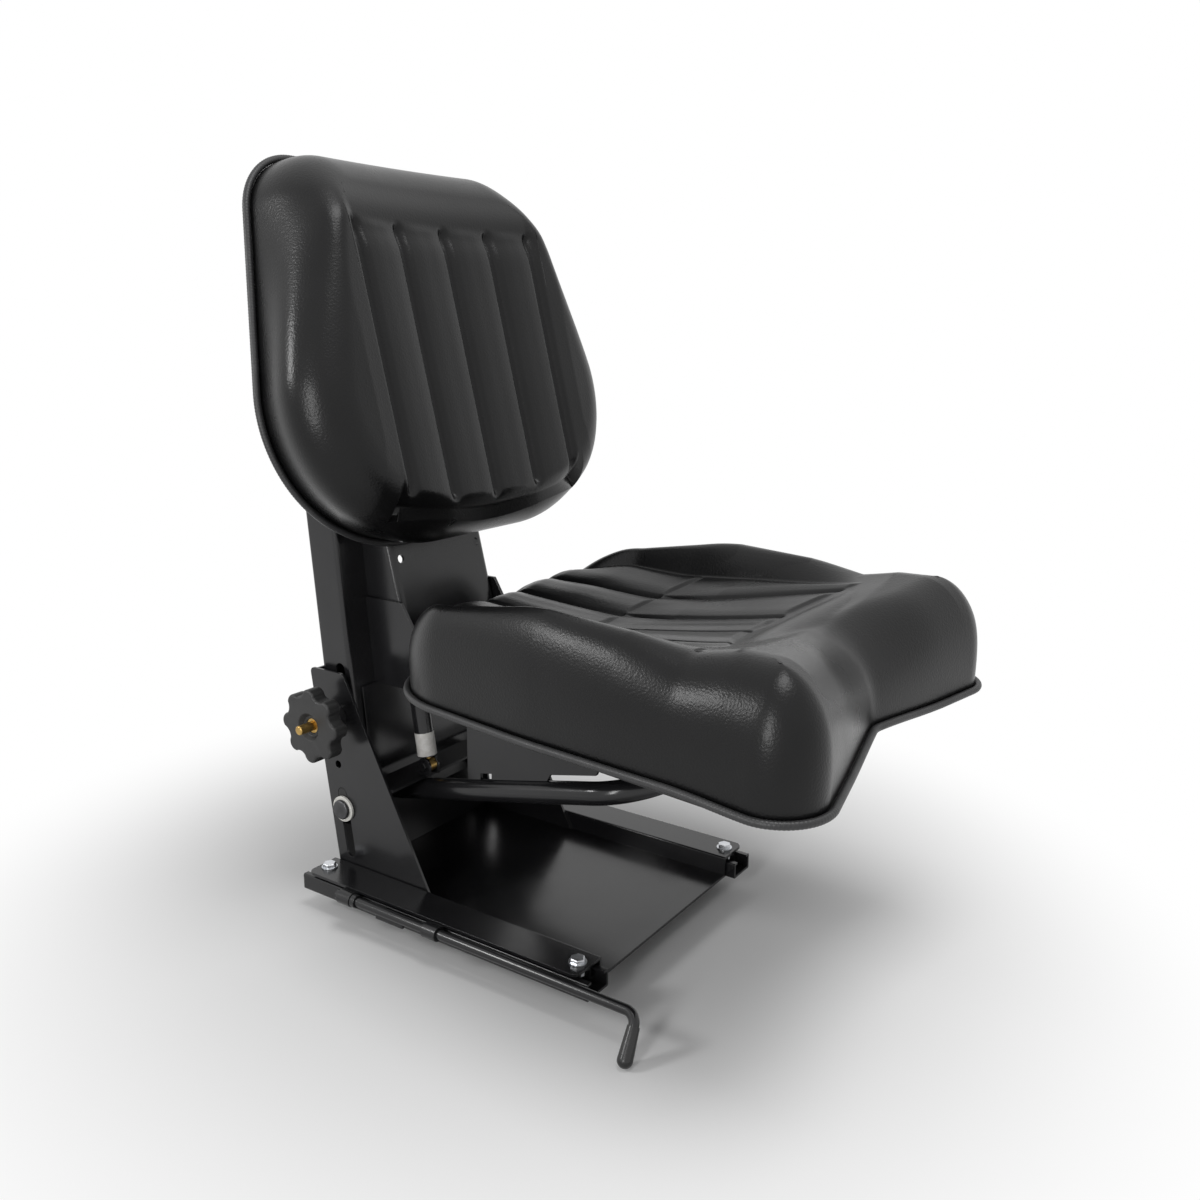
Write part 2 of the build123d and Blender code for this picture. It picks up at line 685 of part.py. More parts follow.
# Guide shaft, washers and caps
guide_end = outer_face + washer_gap + washer_sheet
guide = bar((guide_x, -guide_end, guide_z), (guide_x, guide_end, guide_z), guide_diameter)
save(guide, "guide_shaft")
washers = []
caps = []
for side in (-1, 1):
    inner_y = side * (outer_face + washer_gap)
    outer_y = side * guide_end
    washer = bar((guide_x, inner_y, guide_z), (guide_x, outer_y, guide_z), washer_diameter)
    washer -= cross_bore(guide_x, inner_y, guide_z, guide_diameter + post_shaft_fit)
    washers.append(washer)
    cap = bar((guide_x, outer_y, guide_z), (guide_x, outer_y + side * cap_length, guide_z), cap_diameter)
    tip = cap.edges().sort_by(Axis.Y)[-1 if side > 0 else 0]
    caps.append(fillet(tip, cap_round))
save(Compound(children=washers), "guide_washers")
save(Compound(children=caps), "guide_caps")

# Hoop
hoop_rise = tan(radians(hoop_lean))


def hoop_z(x):
    """Height of the hoop's centre line."""
    return hoop_ref_z + (x - hoop_ref_x) * hoop_rise


hoop_start_x = post_front_x(hoop_z(hoop_joint_x)) + sheet_x + hoop_diameter / 2 * hoop_rise
hoop_plane = Plane(origin=(hoop_ref_x, 0, hoop_ref_z), x_dir=(cos(radians(hoop_lean)), 0, sin(radians(hoop_lean))),
                   z_dir=(-sin(radians(hoop_lean)), 0, cos(radians(hoop_lean))))
leg_start = (hoop_start_x - hoop_ref_x) / cos(radians(hoop_lean))
leg_end = (hoop_arc_x - hoop_ref_x) / cos(radians(hoop_lean))
leg_a = Line((leg_start, -hoop_leg_y), (leg_end, -hoop_leg_y))
bend = ThreePointArc((leg_end, -hoop_leg_y), (leg_end + hoop_leg_y, 0), (leg_end, hoop_leg_y))
leg_b = Line((leg_end, hoop_leg_y), (leg_start, hoop_leg_y))
hoop_path = hoop_plane * Wire([leg_a, bend, leg_b])
ring_plane = Plane(origin=hoop_path @ 0, z_dir=hoop_path % 0)
tube_ring = Circle(hoop_diameter / 2) - Circle(hoop_diameter / 2 - hoop_wall)
hoop = sweep(ring_plane * tube_ring, path=hoop_path)
save(hoop, "hoop_tube")

# Cradle between hoop and seat pan
pan_under_z = seat_plane_z - piping_diameter / 2 - seat_pan_sheet
top_offset = hoop_diameter / 2 / cos(radians(hoop_lean))


def on_hoop(x, lift=0.0):
    """Height on the hoop line at x, moved square to it by off."""
    return (x, hoop_z(x) + top_offset + lift)


cradle_points = [on_hoop(cradle_rear_x), on_hoop(notch_rear[0]), on_hoop(notch_rear[0], cradle_notch),
                 on_hoop(notch_rear[1], cradle_notch), on_hoop(notch_rear[1]), on_hoop(notch_front[0]),
                 on_hoop(notch_front[0] + notch_slant, cradle_notch), on_hoop(notch_front[1], cradle_notch),
                 (cradle_front_x, pan_under_z - cradle_nose), (cradle_front_x, pan_under_z), (cradle_rear_x, pan_under_z)]
for side, name in ((1, "cradle_plate_left"), (-1, "cradle_plate_right")):
    y_outer = side * hoop_leg_y + cradle_sheet / 2
    plate = side_plate(cradle_points, y_outer, cradle_sheet)
    save(plate, name)

# Seat arms from the back bracket to the seat pan
arm_top_z = bracket_bottom_z + arm_rise
arm_low_z = pan_under_z - arm_height
arm_points = [(post_front_x(arm_top_z), arm_top_z), (post_front_x(arm_low_z), arm_low_z),
              (arm_knee_x, arm_low_z), (arm_front_x, pan_under_z - arm_nose), (arm_front_x, pan_under_z),
              (arm_top_rear_x, pan_under_z), (back_x(arm_top_z) + arm_lap, arm_top_z)]
for side, name in ((1, "seat_arm_left"), (-1, "seat_arm_right")):
    y_outer = side * (bracket_half + arm_sheet / 2) + arm_sheet / 2
    save(side_plate(arm_points, y_outer, arm_sheet), name)

# Cross panel between the posts, narrower above, where it stands between the arms
panel_height = (panel_top_z - panel_bottom_z) / cos(radians(post_lean))
panel_step = (arm_low_z - panel_gap - panel_bottom_z) / cos(radians(post_lean))
panel_neck = bracket_half - panel_gap
panel_outline = [(-panel_half, 0), (panel_half, 0), (panel_half, panel_step), (panel_neck, panel_step),
                 (panel_neck, panel_height), (-panel_neck, panel_height), (-panel_neck, panel_step),
                 (-panel_half, panel_step)]
panel = extrude(Plane.YZ * make_face(Polyline(*panel_outline, close=True)), bracket_sheet)
panel = Pos(post_front_x(panel_bottom_z), 0, panel_bottom_z) * Rot(0, -post_lean, 0) * panel
save(panel, "cross_panel")

# Seat pan, cushion and piping
seat_corners = [(seat_rear_x, -seat_rear_half), (seat_front_x, -seat_front_half), (seat_waist_x, 0),
                (seat_front_x, seat_front_half), (seat_rear_x, seat_rear_half)]


def seat_face(grow=0.0):
    """Seat outline, grown or shrunk evenly, with all corners rounded."""
    face = make_face(Polyline(*seat_corners, close=True))
    corner_set = face.vertices()
    rear = [v for v in corner_set if abs(v.X - seat_rear_x) < 0.1]
    face = fillet(rear, seat_rear_radius)
    front = [v for v in face.vertices() if abs(v.X - seat_front_x) < 0.1]
    face = fillet(front, seat_front_radius)
    waist = [v for v in face.vertices() if abs(v.X - seat_waist_x) < 0.1 and abs(v.Y) < 0.1]
    face = fillet(waist, seat_waist_radius)
    if grow:
        face = offset(face, grow, kind=Kind.ARC)
    return face


pan_top_z = pan_under_z + seat_pan_sheet
skirt_z = pan_under_z - seat_pan_skirt
seat_pan = extrude(Plane.XY.offset(pan_under_z) * seat_face(-seat_pan_inset), seat_pan_sheet)
skirt_outer = Plane.XY.offset(skirt_z) * seat_face(-seat_pan_inset)
skirt_inner = Plane.XY.offset(skirt_z) * seat_face(-seat_pan_inset - seat_pan_sheet)
seat_pan += extrude(skirt_outer, seat_pan_skirt) - extrude(skirt_inner, seat_pan_skirt)
seat_bolt_places = [(x, side * (hoop_leg_y + seat_bolt_offset)) for x in seat_bolt_x for side in (-1, 1)]
arm_slot_inner = bracket_half - arm_slot_gap
arm_slot_outer = bracket_half + arm_sheet + arm_slot_gap
arm_slot_front = seat_rear_x + seat_pan_inset + 2 * seat_pan_sheet
for y0, y1 in ((arm_slot_inner, arm_slot_outer), (-arm_slot_outer, -arm_slot_inner)):
    seat_pan -= block(seat_rear_x, arm_slot_front, y0, y1, skirt_z - 1, pan_under_z)
for x, y in seat_bolt_places:
    seat_pan -= Pos(x, y, pan_under_z) * Cylinder((pan_bolt + bolt_clearance) / 2, 4 * seat_pan_sheet)
save(seat_pan, "seat_pan")


def dish_section(x, centre, rim):
    """Section of the seat's dish: an arc from rim to rim through the centre, closed above."""
    top = 2 * seat_cushion_height
    arc = ThreePointArc((-dish_half, rim), (0, centre), (dish_half, rim))
    lid = Polyline((dish_half, rim), (dish_half, top), (-dish_half, top), (-dish_half, rim))
    return Plane(origin=(x, 0, seat_plane_z), x_dir=(0, 1, 0), z_dir=(1, 0, 0)) * make_face(Wire([arc, *lid.edges()]))


def pleat(x0, y0, x1, y1):
    """Prism over one pleat line, cut through the whole cushion."""
    start = Vector(x0, y0, seat_plane_z)
    end = Vector(x1, y1, seat_plane_z)
    plane = Plane(origin=(start + end) * 0.5, x_dir=(end - start).normalized(), z_dir=(0, 0, 1))
    shape = SlotCenterToCenter((end - start).length, pleat_width)
    return extrude(plane * shape, 2 * seat_cushion_height)


seat_dish = loft([dish_section(*station) for station in dish_stations])
pleats = []
for side in (-1, 1):
    for y_band, y_front, x_front in (pleat_inner, pleat_outer):
        pleats.append(pleat(dish_stations[0][0], side * y_band, pleat_band[0], side * y_band))
        pleats.append(pleat(pleat_band[1], side * y_band, x_front, side * y_front))

cushion = extrude(Plane.XY.offset(pan_top_z + pan_gap) * seat_face(), seat_cushion_height)
cushion = fillet(cushion.edges().group_by(Axis.Z)[-1], seat_edge_radius)
cushion -= seat_dish
for groove in pleats:
    cushion -= groove & (Pos(0, 0, -pleat_depth) * seat_dish)
for x, y in seat_bolt_places:
    cushion -= Pos(x, y, pan_top_z) * Cylinder(pan_bolt / 2 + bolt_clearance, bolt_pocket)
save(cushion, "seat_cushion")

seat_bolts = []
for x, y in seat_bolt_places:
    seat_bolts.append(Pos(x, y, pan_under_z) * Rot(180, 0, 0) * flange_bolt(pan_bolt, seat_bolt_length))
save(Compound(children=seat_bolts), "seat_bolts")


def piping(face, place):
    """Round cord along the edge of a face, just outside the cushion."""
    path = place * offset(face, piping_diameter / 2 + piping_gap, kind=Kind.ARC).face().outer_wire()
    start = Plane(origin=path @ 0, z_dir=path % 0)
    return sweep(start * Circle(piping_diameter / 2), path=path, transition=Transition.ROUND)


save(piping(seat_face(), Pos(0, 0, seat_plane_z)), "seat_piping")

# Back shell, cushion and piping
back_plane = Plane(origin=(back_ref_x, 0, back_ref_z), x_dir=(0, 1, 0), z_dir=tuple(back_normal))
back_corners = [(-back_low_half, back_low_s), (back_low_half, back_low_s), (back_wide_half, back_wide_s),
                (back_top_half, back_top_s), (-back_top_half, back_top_s), (-back_wide_half, back_wide_s)]


def back_face(grow=0.0):
    """Backrest outline in the back plane: x across, y up along the plate."""
    face = make_face(Polyline(*back_corners, close=True))
    for s, radius in ((back_low_s, back_low_radius), (back_wide_s, back_wide_radius), (back_top_s, back_top_radius)):
        pair = [v for v in face.vertices() if abs(v.Y - s) < 0.1]
        pair = [v for v in pair if min(abs(abs(v.X) - h) for h in (back_low_half, back_wide_half, back_top_half)) < 0.1]
        face = fillet(pair, radius)
    if grow:
        face = offset(face, grow, kind=Kind.ARC)
    return face


back_bolt_places = [(y, s) for y in (-back_bolt_y, back_bolt_y) for s in (back_bolt_low, back_bolt_high)]
shell = extrude(back_face(-shell_inset), shell_thickness)
for y, s in back_bolt_places:
    shell -= Pos(y, s, 0) * Cylinder((pan_bolt + bolt_clearance) / 2, 4 * shell_thickness)
save(back_plane * shell, "back_shell")

# Front of the back cushion, in the back plane: a wedge thinner at the head, and a hollow across.
pad_out = shell_thickness + pan_gap
foot_out = pad_out + back_foot_depth
head_out = pad_out + back_head_depth


def front_section(s, out, bow, half):
    """Section across the backrest at s: everything in front of a line, bowed back in the middle."""
    lid_out = 2 * back_foot_depth
    arc = ThreePointArc((-half, out), (0, out - bow), (half, out))
    lid = Polyline((half, out), (half, lid_out), (-half, lid_out), (-half, out))
    return Plane(origin=(0, s, 0), x_dir=(1, 0, 0), z_dir=(0, -1, 0)) * make_face(Wire([arc, *lid.edges()]))


def front_out(s):
    """Height of the slanting front over the back plate at s."""
    return foot_out + (head_out - foot_out) * (s - back_low_s) / (back_top_s - back_low_s)


def prism_across(edges):
    """Prism across the whole backrest over a side outline of (s, height) edges."""
    plane = Plane(origin=(back_wide_half + 1, 0, 0), x_dir=(0, 1, 0), z_dir=(1, 0, 0))
    return extrude(plane * make_face(Wire(edges)), -2 * (back_wide_half + 1))


def front_wedge():
    """Everything in front of the cushion's slanting front."""
    low, high, lid = back_low_s - back_low_radius, back_top_s + back_top_radius, 2 * back_foot_depth
    return prism_across(Polyline((low, front_out(low)), (high, front_out(high)), (high, lid), (low, lid),
                                 close=True).edges())


def head_cut():
    """Everything outside the rounded head."""
    start = back_top_s - back_head_radius
    front = front_out(start)
    lid = 2 * back_foot_depth
    slant = back_head_radius * sin(radians(45))
    arc = ThreePointArc((start, front), (start + slant, front - back_head_radius + slant),
                        (back_top_s, front - back_head_radius))
    rest = Polyline((back_top_s, front - back_head_radius), (back_top_s + back_head_radius, front - back_head_radius),
                    (back_top_s + back_head_radius, lid), (start, lid), (start, front))
    return prism_across([arc.edge(), *rest.edges()])


def hollow_front(depth=0.0):
    """Everything in front of the hollow ribbed front, moved back by depth."""
    low, high = rib_low_s - rib_groove_width, rib_high_s + rib_groove_width
    sections = [front_section(low, front_out(low) - depth, rib_bow, rib_bow_half),
                front_section(high, front_out(high) - depth, rib_bow, rib_bow_half)]
    return loft(sections)


def rib_groove(y):
    """Groove along the backrest at y."""
    slot = SlotCenterToCenter(rib_high_s - rib_low_s, rib_groove_width)
    room = extrude(Pos(y, (rib_low_s + rib_high_s) / 2, 0) * Rot(0, 0, 90) * slot, 2 * back_foot_depth)
    return room & hollow_front(rib_groove_depth)


pad = extrude(Pos(0, 0, pad_out) * back_face(), 1.5 * back_foot_depth)
pad -= front_wedge()
pad = fillet(pad.faces().sort_by(Axis.Z)[-1].edges(), back_edge_radius)
pad -= head_cut()
pad -= hollow_front()
for y in sorted({side * y for y in rib_grooves for side in (-1, 1)}):
    pad -= rib_groove(y)
for y, s in back_bolt_places:
    pad -= Pos(y, s, shell_thickness) * Cylinder(pan_bolt / 2 + bolt_clearance, back_bolt_pocket)
save(back_plane * pad, "back_cushion")
save(back_plane * piping(back_face(), Pos(0, 0, shell_thickness + piping_diameter / 2)), "back_piping")

bolt_set = []
for y, s in back_bolt_places:
    bolt_set.append(back_plane * Pos(y, s, -bracket_sheet) * Rot(180, 0, 0) * flange_bolt(pan_bolt, back_bolt_length))
save(Compound(children=bolt_set), "back_bolts")

# Springs


def tension_spring(y):
    """Extension spring between the fixed shaft above and the guide shaft below."""
    top = Vector(spring_x, y, spring_z)
    bottom = Vector(guide_x, y, guide_z)
    axis = top - bottom
    coil_length = axis.length - 2 * spring_leg
    coil = Helix(pitch=coil_length / spring_turns, height=coil_length, radius=spring_radius)
    start = Plane(origin=coil @ 0, z_dir=coil % 0)
    body = sweep(start * Circle(spring_wire / 2), path=coil, is_frenet=True)
    body = Pos(0, 0, spring_leg) * body
    eye_radius = max(spring_shaft_diameter, guide_diameter) / 2 + spring_eye_clearance + spring_wire / 2
    for z, end in ((0.0, spring_leg), (axis.length, axis.length - spring_leg)):
        body += Pos(0, 0, z) * Rot(90, 0, 0) * Torus(eye_radius, spring_wire / 2)
        body += bar((eye_radius, 0, z), (spring_radius, 0, end), spring_wire)
        body += Pos(spring_radius, 0, end) * Sphere(spring_wire / 2)
    place = Plane(origin=tuple(bottom), x_dir=(axis.Z, 0, -axis.X), z_dir=tuple(axis))
    return place * body


save(tension_spring(spring_y), "spring_left")
save(tension_spring(-spring_y), "spring_right")

# Damper
along = Plane(origin=tuple(damper_foot), x_dir=(0, 1, 0), z_dir=tuple(damper_dir))
body_end = damper_body_start + damper_body_length


def up_cylinder(start, end, diameter):
    """Cylinder along the damper axis from one distance to another."""
    cylinder = Cylinder(diameter / 2, end - start, align=(Align.CENTER, Align.CENTER, Align.MIN))
    return Pos(0, 0, start) * cylinder


tube = up_cylinder(damper_body_start, body_end, damper_body_diameter)
tube = fillet(tube.edges().group_by(Axis.Z)[-1] + tube.edges().group_by(Axis.Z)[0], damper_body_round)
bore_start = body_end - travel - damper_bore_spare
tube -= up_cylinder(bore_start, body_end + 1, damper_rod_diameter + 2 * running_fit)
band_start = damper_body_start + damper_band_lift
band_end = band_start + damper_band_height
tube -= (up_cylinder(band_start, band_end, damper_body_diameter + 4)
         - up_cylinder(band_start, band_end, damper_body_diameter - 2 * damper_band_sheet))
save(along * tube, "damper_body")
band = up_cylinder(band_start, band_end, damper_body_diameter + damper_band_proud)
band -= up_cylinder(band_start - 1, band_end + 1, damper_body_diameter - 2 * damper_band_sheet)
save(along * band, "damper_band")


def eye(height):
    """Eye across Y at a height on the damper's axis."""
    barrel = Cylinder(damper_eye / 2, damper_eye_width - damper_eye_gap)
    return Pos(0, 0, height) * Rot(0, 90, 0) * barrel


pin_bore = Cylinder(damper_pin / 2 + running_fit, 4 * damper_eye_width)
foot_eye = eye(0) + up_cylinder(0, damper_body_start, damper_stem)
foot_eye -= Rot(0, 90, 0) * pin_bore
save(along * foot_eye, "damper_foot_eye")
rod_bottom = bore_start + travel + damper_rod_spare
damper_rod = eye(damper_length) + up_cylinder(rod_bottom, damper_length, damper_rod_diameter)
damper_rod -= Pos(0, 0, damper_length) * Rot(0, 90, 0) * pin_bore
save(along * damper_rod, "damper_rod")
for centre, name in ((damper_foot, "damper_foot_pin"), (damper_head, "damper_head_pin")):
    reach = lug_half + plate_sheet
    near, far = damper_y - reach, damper_y + reach
    pin = bar((centre.X, near, centre.Z), (centre.X, far, centre.Z), damper_pin)
    pin += bar((centre.X, near, centre.Z), (centre.X, near - pin_head_height, centre.Z), pin_head)
    pin += bar((centre.X, far, centre.Z), (centre.X, far + pin_lock_height, centre.Z), pin_head)
    save(pin, name)

# Slide lever
lever_axis_radius = lever_diameter / 2
corner = Vector(lever_bend_x, lever_y, lever_z)
grip_target = corner + Vector(*grip_reach)
grip_dir = (grip_target - corner).normalized()
rod_path = FilletPolyline((lever_rear_x, lever_y, lever_z), tuple(corner), tuple(grip_target), radius=lever_bend_radius)
rod_start = Plane(origin=rod_path @ 0, z_dir=rod_path % 0)
lever = sweep(rod_start * Circle(lever_axis_radius), path=rod_path)
save(lever, "lever_rod")

grip_back = grip_target - grip_dir * (grip_length - grip_diameter / 2)
grip_profile = Plane(origin=tuple(grip_back), z_dir=tuple(grip_dir))
sleeve_length = grip_length - grip_diameter / 2
mouth_radius = lever_axis_radius + grip_wall
sleeve = Cone(mouth_radius, grip_diameter / 2, sleeve_length, align=(Align.CENTER, Align.CENTER, Align.MIN))
sleeve += Pos(0, 0, sleeve_length) * Sphere(grip_diameter / 2)
sleeve -= Cylinder(lever_axis_radius + running_fit, sleeve_length, align=(Align.CENTER, Align.CENTER, Align.MIN))
save(grip_profile * sleeve, "lever_grip")

# Clips under the pan flange hold the lever rod.
clip_radius = lever_axis_radius + running_fit * 2 + clip_wall
clips = []
for x in clip_x:
    ring = Cylinder(clip_radius, clip_length)
    ring = Pos(x, lever_y, lever_z) * Rot(0, 90, 0) * ring
    strap_inner = -rail_y - upper_neck / 2 - strap_gap
    strap = block(x - clip_length / 2, x + clip_length / 2, lever_y, strap_inner, rail_stack - rail_wall, rail_stack)
    clip = ring + strap
    clip -= bar((x - clip_length, lever_y, lever_z), (x + clip_length, lever_y, lever_z),
                lever_diameter + 4 * running_fit)
    clips.append(clip)
save(Compound(children=clips), "lever_clips")

# Latch comb on the rod; at rest its teeth stand just outside the rail windows.
rail_face_y = -rail_y - lower_rail_width / 2
tooth_tip_y = rail_face_y - latch_gap
comb_length = 2 * latch_pitch + latch_window
comb_y = lever_y + lever_axis_radius - comb_rod_overlap
comb_start = latch_x - comb_length / 2
comb = block(comb_start, comb_start + comb_length, comb_y - comb_sheet, comb_y, comb_low_z, lever_z)
for i in (-1, 0, 1):
    x = latch_x + i * latch_pitch
    half = latch_window / 2 - tooth_play
    comb += block(x - half, x + half, comb_y - comb_sheet / 2, tooth_tip_y, tooth_low_z, tooth_high_z)
comb -= bar((latch_x - comb_length, lever_y, lever_z), (latch_x + comb_length, lever_y, lever_z),
            lever_diameter + 2 * running_fit)
save(comb, "latch_comb")

# Stop collar beside the rear clip.
collar_x = clip_x[0] + clip_length / 2 + collar_gap
collar_end = collar_x + collar_width
collar_ring = bar((collar_end, lever_y, lever_z), (collar_x, lever_y, lever_z), lever_diameter + 2 * collar_wall)
collar_ring -= bar((collar_end + 1, lever_y, lever_z), (collar_x - 1, lever_y, lever_z),
                   lever_diameter + 2 * running_fit)
save(collar_ring, "lever_collar")

# Rebound stops: rubber plugs in the tops of the tower slots
plug_width = guide_slot - 1.0
plug_start = guide_diameter / 2 + plug_width / 2 + running_fit
stops = []
for side in (-1, 1):
    y_mid = side * (trough_half - plate_sheet / 2)
    stops.append(slot_cut(guide_x, guide_z, slot_over_top, -plug_start, plug_width, y_mid, plate_sheet))
save(Compound(children=stops), "rebound_stops")

# Spacers between posts and tower plates
guide_spacers = []
shaft_spacers = []
for side in (-1, 1):
    post_face = side * post_outer
    tower_face = side * tower_inner
    low = bar((guide_x, post_face, guide_z), (guide_x, tower_face - side * spacer_gap, guide_z), spacer_diameter)
    low -= cross_bore(guide_x, post_face, guide_z, guide_diameter + 2 * running_fit)
    guide_spacers.append(low)
    high = bar((spring_x, post_face + side * spacer_gap, spring_z), (spring_x, tower_face, spring_z), spacer_diameter)
    high -= cross_bore(spring_x, post_face, spring_z, spring_shaft_diameter + 2 * running_fit)
    shaft_spacers.append(high)
save(Compound(children=guide_spacers), "guide_spacers")
save(Compound(children=shaft_spacers), "shaft_spacers")
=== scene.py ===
import json
import math

import bmesh
import bpy
import numpy as np
from mathutils import Matrix, Vector


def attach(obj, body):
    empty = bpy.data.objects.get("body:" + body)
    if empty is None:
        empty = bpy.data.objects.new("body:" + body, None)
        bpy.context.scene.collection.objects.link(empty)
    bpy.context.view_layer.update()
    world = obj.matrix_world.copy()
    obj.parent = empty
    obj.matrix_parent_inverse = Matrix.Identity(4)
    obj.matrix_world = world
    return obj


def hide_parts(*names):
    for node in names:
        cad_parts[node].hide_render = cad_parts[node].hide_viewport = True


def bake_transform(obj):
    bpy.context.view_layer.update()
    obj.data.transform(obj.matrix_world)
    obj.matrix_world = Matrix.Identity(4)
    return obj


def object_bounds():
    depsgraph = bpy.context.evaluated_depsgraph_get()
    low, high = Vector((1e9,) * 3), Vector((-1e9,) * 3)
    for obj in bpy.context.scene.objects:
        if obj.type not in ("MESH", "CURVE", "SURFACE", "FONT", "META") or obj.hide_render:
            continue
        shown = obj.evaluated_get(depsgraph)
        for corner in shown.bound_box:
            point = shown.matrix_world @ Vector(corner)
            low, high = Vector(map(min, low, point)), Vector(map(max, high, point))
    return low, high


# Looks of the tractor suspension seat: upholstery, finishes, floor, light and camera.
# Lengths in the shape functions are millimetres in the frame's own axes, X ahead,
# Y to the driver's left and Z up. Meshes are in metres.

MM = 0.001
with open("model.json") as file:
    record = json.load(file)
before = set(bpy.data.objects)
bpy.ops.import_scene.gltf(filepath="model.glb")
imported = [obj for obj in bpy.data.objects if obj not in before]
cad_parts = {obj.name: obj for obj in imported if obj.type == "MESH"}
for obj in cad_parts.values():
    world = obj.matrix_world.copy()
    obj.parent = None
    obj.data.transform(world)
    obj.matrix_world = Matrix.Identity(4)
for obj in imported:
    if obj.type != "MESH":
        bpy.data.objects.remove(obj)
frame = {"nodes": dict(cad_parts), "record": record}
cad_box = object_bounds()

# Seat cushion, seen from above
SEAT_CORNERS = [(-57.0, -170.5), (150.0, -202.5), (430.0, -228.0), (383.0, 0.0), (430.0, 228.0),
                (150.0, 202.5), (-57.0, 170.5)]
SEAT_RADII = [106.0, 700.0, 42.0, 38.0, 42.0, 700.0, 106.0]
SEAT_BASE = 256.7
SEAT_PANEL_HALF = 150.0
SEAT_PANEL_REAR = -18.0
SEAT_PANEL_FRONT = 288.0
SEAT_PLEATS = (29.0, 87.0)
SEAT_DISH_Z = 313.0
SEAT_CREST_Z = 387.0
SEAT_GROOVE_DEPTH = 7.0
SEAT_GROOVE_HALF = 3.6
SEAT_BAND_X = 110.0

# Back cushion, in the plane of the back plate: first number up the plate, second across
BACK_CORNERS = [(19.4, -104.6), (88.1, -227.2), (405.1, -161.5), (405.1, 161.5), (88.1, 227.2),
                (19.4, 104.6)]
BACK_RADII = [150.0, 128.0, 66.0, 66.0, 128.0, 150.0]
BACK_LEAN = math.radians(14.0)
BACK_ORIGIN = (-124.5, 364.0)
BACK_BASE = 10.2
BACK_PANEL_HALF = 143.0
BACK_GROOVES = (0.0, 68.0, 131.0)
BACK_GROOVE_DEPTH = 7.0
BACK_GROOVE_HALF = 5.0

# Cushion surfaces: how far the wall's rows may reach towards the panel, shares of the edge's
# height where its shoulder and foot end, the underside's rings towards the middle, and points
# on the outline that depths are measured from
STRIP_SHARE = 0.7
SHOULDER_SHARE = 0.7
FOOT_SHARE = 0.6
UNDER_RINGS = np.array([0.85, 0.45, 0.04])
DENSE_POINTS = 2400

# Piping: its own radius, its middle's distance outside the outline, rib pitch and heights
PIPING_RADIUS = 3.5
PIPING_OUT = 3.6
PIPING_RIB = 3.0
PIPING_SIDES = 12
SEAT_PIPING_Z = 260.0
BACK_PIPING_OUT = 13.5

# Camera: place in metres, turns in degrees, roll in radians and focal length on a 36 mm sensor
CAMERA_PLACE = (0.7169, -0.9216, 0.6100)
CAMERA_AZIMUTH = 34.16
CAMERA_PITCH = 13.85
CAMERA_ROLL = 0.0059
CAMERA_LENS = 33.99


def smooth(value):
    """Smooth step: 0 below 0, 1 above 1, and three times its square less twice its cube between."""
    t = np.clip(value, 0.0, 1.0)
    return t * t * (3.0 - 2.0 * t)


def rounded_outline(corners, radii):
    """Closed outline: each corner of a polygon becomes the arc that touches both its sides."""
    points = []
    count = len(corners)
    for i in range(count):
        corner = np.array(corners[i])
        to_last = np.array(corners[i - 1]) - corner
        to_next = np.array(corners[(i + 1) % count]) - corner
        to_last /= np.linalg.norm(to_last)
        to_next /= np.linalg.norm(to_next)
        half = math.acos(float(np.clip(to_last @ to_next, -1.0, 1.0))) / 2.0
        middle = (to_last + to_next) / np.linalg.norm(to_last + to_next)
        centre = corner + middle * radii[i] / math.sin(half)
        first = corner + to_last * radii[i] / math.tan(half) - centre
        last = corner + to_next * radii[i] / math.tan(half) - centre
        start = math.atan2(first[1], first[0])
        turn = (math.atan2(last[1], last[0]) - start + math.pi) % (2.0 * math.pi) - math.pi
        angle = start + turn * np.linspace(0.0, 1.0, 160)
        points.append(centre + radii[i] * np.stack([np.cos(angle), np.sin(angle)], axis=1))
    return np.concatenate(points)


def lengths_along(path):
    """Length along a closed path at each of its points, and its whole length at the end."""
    steps = np.linalg.norm(np.roll(path, -1, axis=0) - path, axis=1)
    return np.concatenate([[0.0], np.cumsum(steps)])


def at_lengths(path, wanted):
    """Points of a closed path at the wanted lengths along it, past its end too."""
    marks = lengths_along(path)
    closed = np.concatenate([path, path[:1]])
    wrapped = np.mod(wanted, marks[-1])
    return np.stack([np.interp(wrapped, marks, closed[:, k]) for k in range(path.shape[1])], axis=1)


def matched_outline(outline, anchors, border_runs):
    """Outline points in four runs between the points nearest to four anchors, and their outward normals.

    Each run is spaced like the side of the panel that it faces.
    """
    marks = lengths_along(outline)
    fine_marks = np.linspace(0.0, marks[-1], 4000, endpoint=False)
    fine = at_lengths(outline, fine_marks)
    starts = [fine_marks[np.argmin(np.linalg.norm(fine - np.array(a), axis=1))] for a in anchors]
    wanted = []
    for i in range(4):
        steps = np.linalg.norm(np.diff(border_runs[i], axis=0), axis=1)
        share = np.concatenate([[0.0], np.cumsum(steps)[:-1]]) / steps.sum()
        span = (starts[(i + 1) % 4] - starts[i]) % marks[-1]
        wanted.append(starts[i] + span * share)
    wanted = np.concatenate(wanted)
    tangent = at_lengths(outline, wanted + 1.5) - at_lengths(outline, wanted - 1.5)
    tangent /= np.linalg.norm(tangent, axis=1)[:, None]
    return at_lengths(outline, wanted), np.stack([tangent[:, 1], -tangent[:, 0]], axis=1)


def grid_faces(ids):
    """Quads of a grid of vertex numbers, wound from the first row towards the next."""
    low, high = ids[:-1], ids[1:]
    quads = np.stack([low[:, :-1], high[:, :-1], high[:, 1:], low[:, 1:]], axis=-1)
    return quads.reshape(-1, 4)


